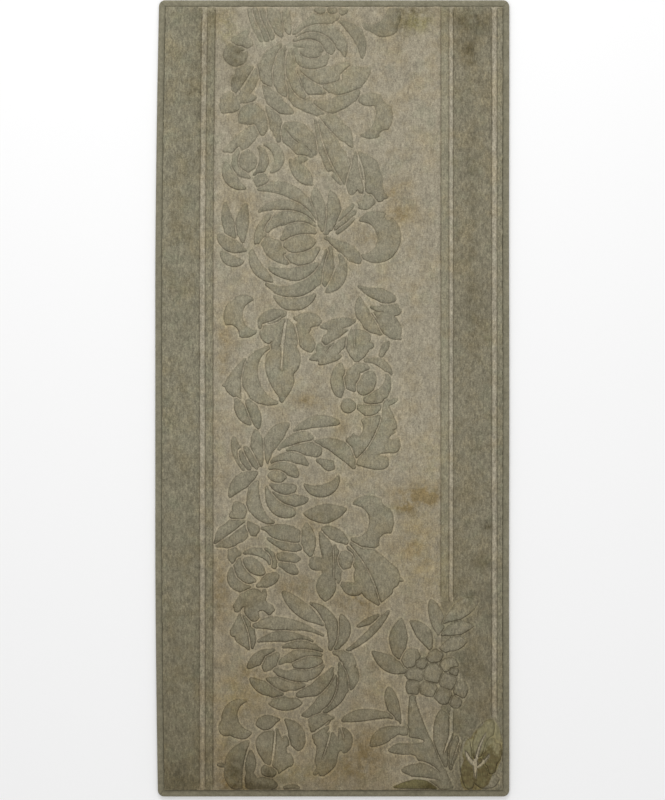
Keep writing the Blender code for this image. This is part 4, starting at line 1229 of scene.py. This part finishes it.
def tape_material():
    n = Nodes("woven_tape")
    wave = n.add("TexWave")
    wave.wave_type = "BANDS"
    wave.bands_direction = "DIAGONAL"
    n.fill(wave, {"Vector": n.place(), "Scale": 270.0, "Distortion": 1.2, "Detail": 1.0})
    twill = wave.outputs["Fac"]
    rib = n.noise(700.0, 2.0, 0.65)
    patch = n.noise(34.0, 4.0, 0.7)
    colour = n.mix(n.remap(patch, 0.35, 0.66), TAPE_DARK, TAPE_LIGHT)
    colour = n.shade(colour, n.noise(170.0, 3.0, 0.6), 0.3, 0.7, 0.82, 1.14)
    colour = n.shade(colour, rib, 0.3, 0.7, 0.84, 1.14)
    colour = n.shade(colour, twill, 0.0, 1.0, 0.84, 1.08)
    height = n.sum(n.times(twill, 0.7), n.times(rib, 0.4))
    return n.finish(darker_to_bottom(n, colour, 0.4), 0.88, 0.12, n.bump(height, 0.5, 0.0004))


def thread_material():
    n = Nodes("sewing_thread")
    colour = n.mix(n.noise(300.0), (0.15, 0.14, 0.095), (0.24, 0.225, 0.16))
    return n.finish(darker_to_bottom(n, colour, 0.4), 0.8, 0.1)


def build_tape(side, run):
    """One tape strip folded over the rug's edge, with a rounded fold and a slight waver."""
    t = TAPE_THICKNESS
    high = TAPE_HEIGHT
    outer = [
        (TAPE_COVER, 0.0), (8.0, 0.0), (4.0, 0.0), (1.9, 0.1), (0.9, 0.5), (0.3, 1.2),
        (0.05, 2.2), (0.05, 3.3), (0.25, 4.4), (0.7, 5.3), (1.5, 5.95), (2.6, 6.3),
        (4.2, high), (6.2, high + 0.05), (8.2, high - 0.02),
        (10.0, high - 0.2), (11.2, high - 0.5), (TAPE_COVER, high - 0.95),
    ]
    inner = [
        (TAPE_COVER - 0.1, high - t - 0.5), (9.0, high - t - 0.15), (5.0, high - t), (2.6, high - t - 0.2),
        (1.5, high - t - 0.7), (t, high - t - 1.6), (t, 2.2), (t + 0.3, 1.5), (t + 1.2, 1.2), (6.0, 1.2),
        (TAPE_COVER, 1.2),
    ]
    section = outer + inner
    verts, faces = [], []
    last = len(run) - 1
    for k, station in enumerate(run):
        x, y = station_point(station, 0.0)
        nx, ny = station.normal_x, station.normal_y
        sx = sy = 0.0
        if k == 0:
            sx, sy = -ny * 0.15, nx * 0.15
        if k == last:
            sx, sy = ny * 0.15, -nx * 0.15
        calm = min(1.0, min(k, last - k) / 6)
        puff = calm * (0.28 * bumpy(x, y, 11, 1) + 0.3 * bumpy(x, y, 40, 2))
        slide = calm * 0.35 * bumpy(x, y, 15, 7)
        for i, (inset, height) in enumerate(section):
            top_share = max(0.0, min(1.0, (height - 3.0) / 2.5)) if i < len(outer) else 0.0
            edge_share = max(0.0, (inset - 8.0) / 4.0) if height > 3.0 else 0.0
            inset_here = inset - 0.5 * edge_share * (0.6 + slide)
            px, py = station_point(station, inset_here)
            verts.append((px + sx, py + sy, height + puff * top_share))
    size = len(section)
    for k in range(last):
        for i in range(size):
            j = (i + 1) % size
            faces.append((k * size + i, (k + 1) * size + i, (k + 1) * size + j, k * size + j))
    faces.append(tuple(range(size)))
    faces.append(tuple(last * size + i for i in range(size))[::-1])
    mesh = new_mesh("tape_" + side, verts, faces)
    work = bmesh.new()
    work.from_mesh(mesh)
    bmesh.ops.triangulate(work, faces=[f for f in work.faces if len(f.verts) > 4])
    bmesh.ops.recalc_face_normals(work, faces=work.faces)
    work.to_mesh(mesh)
    work.free()
    return new_object("tape_" + side, mesh)


def build_stitches(runs, rng):
    """Slanted stitches that hold the tape's inner edge down."""
    verts, faces = [], []
    radius = 0.32
    for run in runs.values():
        straight = [station for station in run if station.side_x == 0]
        for x, y, nx, ny, *_ in straight[1:-1:2]:
            tx, ty = -ny, nx
            slant = rng.uniform(0.8, 1.5)
            path = [(10.6, -slant, 5.4), (10.9, -slant * 0.7, 6.25), (11.7, 0.0, 6.15),
                    (12.15, slant * 0.7, 5.2), (12.2, slant, 4.2)]
            base = len(verts)
            for inset, along, height in path:
                for j in range(6):
                    a = 2 * math.pi * j / 6
                    du, dz = radius * math.cos(a), radius * math.sin(a)
                    way = along + du
                    verts.append((x - nx * inset + tx * way, y - ny * inset + ty * way, height + dz))
            for r in range(len(path) - 1):
                for j in range(6):
                    m = (j + 1) % 6
                    a, b = base + r * 6 + j, base + r * 6 + m
                    faces.append((a, b, b + 6, a + 6))
            faces.append(tuple(base + j for j in range(6))[::-1])
            faces.append(tuple(base + (len(path) - 1) * 6 + j for j in range(6)))
    return new_object("tape_stitches", new_mesh("tape_stitches", verts, faces))


def build_stage():
    mesh = bpy.data.meshes.new("floor")
    mesh.from_pydata([(-4, -4, 0), (4, -4, 0), (4, 4, 0), (-4, 4, 0)], [], [(0, 1, 2, 3)])
    floor = new_object("floor", mesh)
    n = Nodes("pale_floor")
    n.finish((0.93, 0.93, 0.93), 0.9, 0.0)
    mesh.materials.append(n.material)
    world = bpy.data.worlds.new("studio")
    world.use_nodes = True
    world.node_tree.nodes["Background"].inputs[0].default_value = (1.0, 1.0, 1.0, 1.0)
    world.node_tree.nodes["Background"].inputs[1].default_value = 0.71
    bpy.context.scene.world = world

    def area(name, place, target, size, power):
        data = bpy.data.lights.new(name, "AREA")
        data.shape = "RECTANGLE"
        data.size, data.size_y = size
        data.energy = power
        lamp = new_object(name, data, place)
        lamp.rotation_euler = (Vector(target) - Vector(place)).to_track_quat("-Z", "Y").to_euler()

    area("key_top_end", (-0.35, 2.6, 2.0), (0, 0.1, 0), (2.2, 0.8), 39)
    area("fill_above", (0.4, -0.6, 3.2), (0, 0, 0), (3.0, 3.0), 13)


def build_camera():
    bpy.context.scene.view_settings.view_transform = "Standard"
    data = bpy.data.cameras.new("overhead")
    data.sensor_fit = "HORIZONTAL"
    data.sensor_width = SENSOR_WIDTH
    frame_width = VIEW_WIDTH * PIXEL_SIZE * MM
    data.lens = SENSOR_WIDTH * (CAMERA_HEIGHT - RUG_TOP) / frame_width
    data.clip_end = 50
    bpy.context.scene.camera = new_object("overhead", data, (0.0003, -0.0029, CAMERA_HEIGHT))


def main():
    build_camera()
    rug = build_pile()
    rug.data.materials.append(pile_material())
    rug.data.materials.append(back_material())
    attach(rug, "root")
    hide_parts("pile_panel")
    runs = edge_runs(3.0, 5)
    cloth = tape_material()
    for side, run in runs.items():
        tape = build_tape(side, run)
        tape.data.materials.append(cloth)
        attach(tape, "root")
        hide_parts("binding_" + side)
    stitches = build_stitches(runs, random.Random(SEED + 2))
    stitches.data.materials.append(thread_material())
    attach(stitches, "root")
    build_stage()


main()
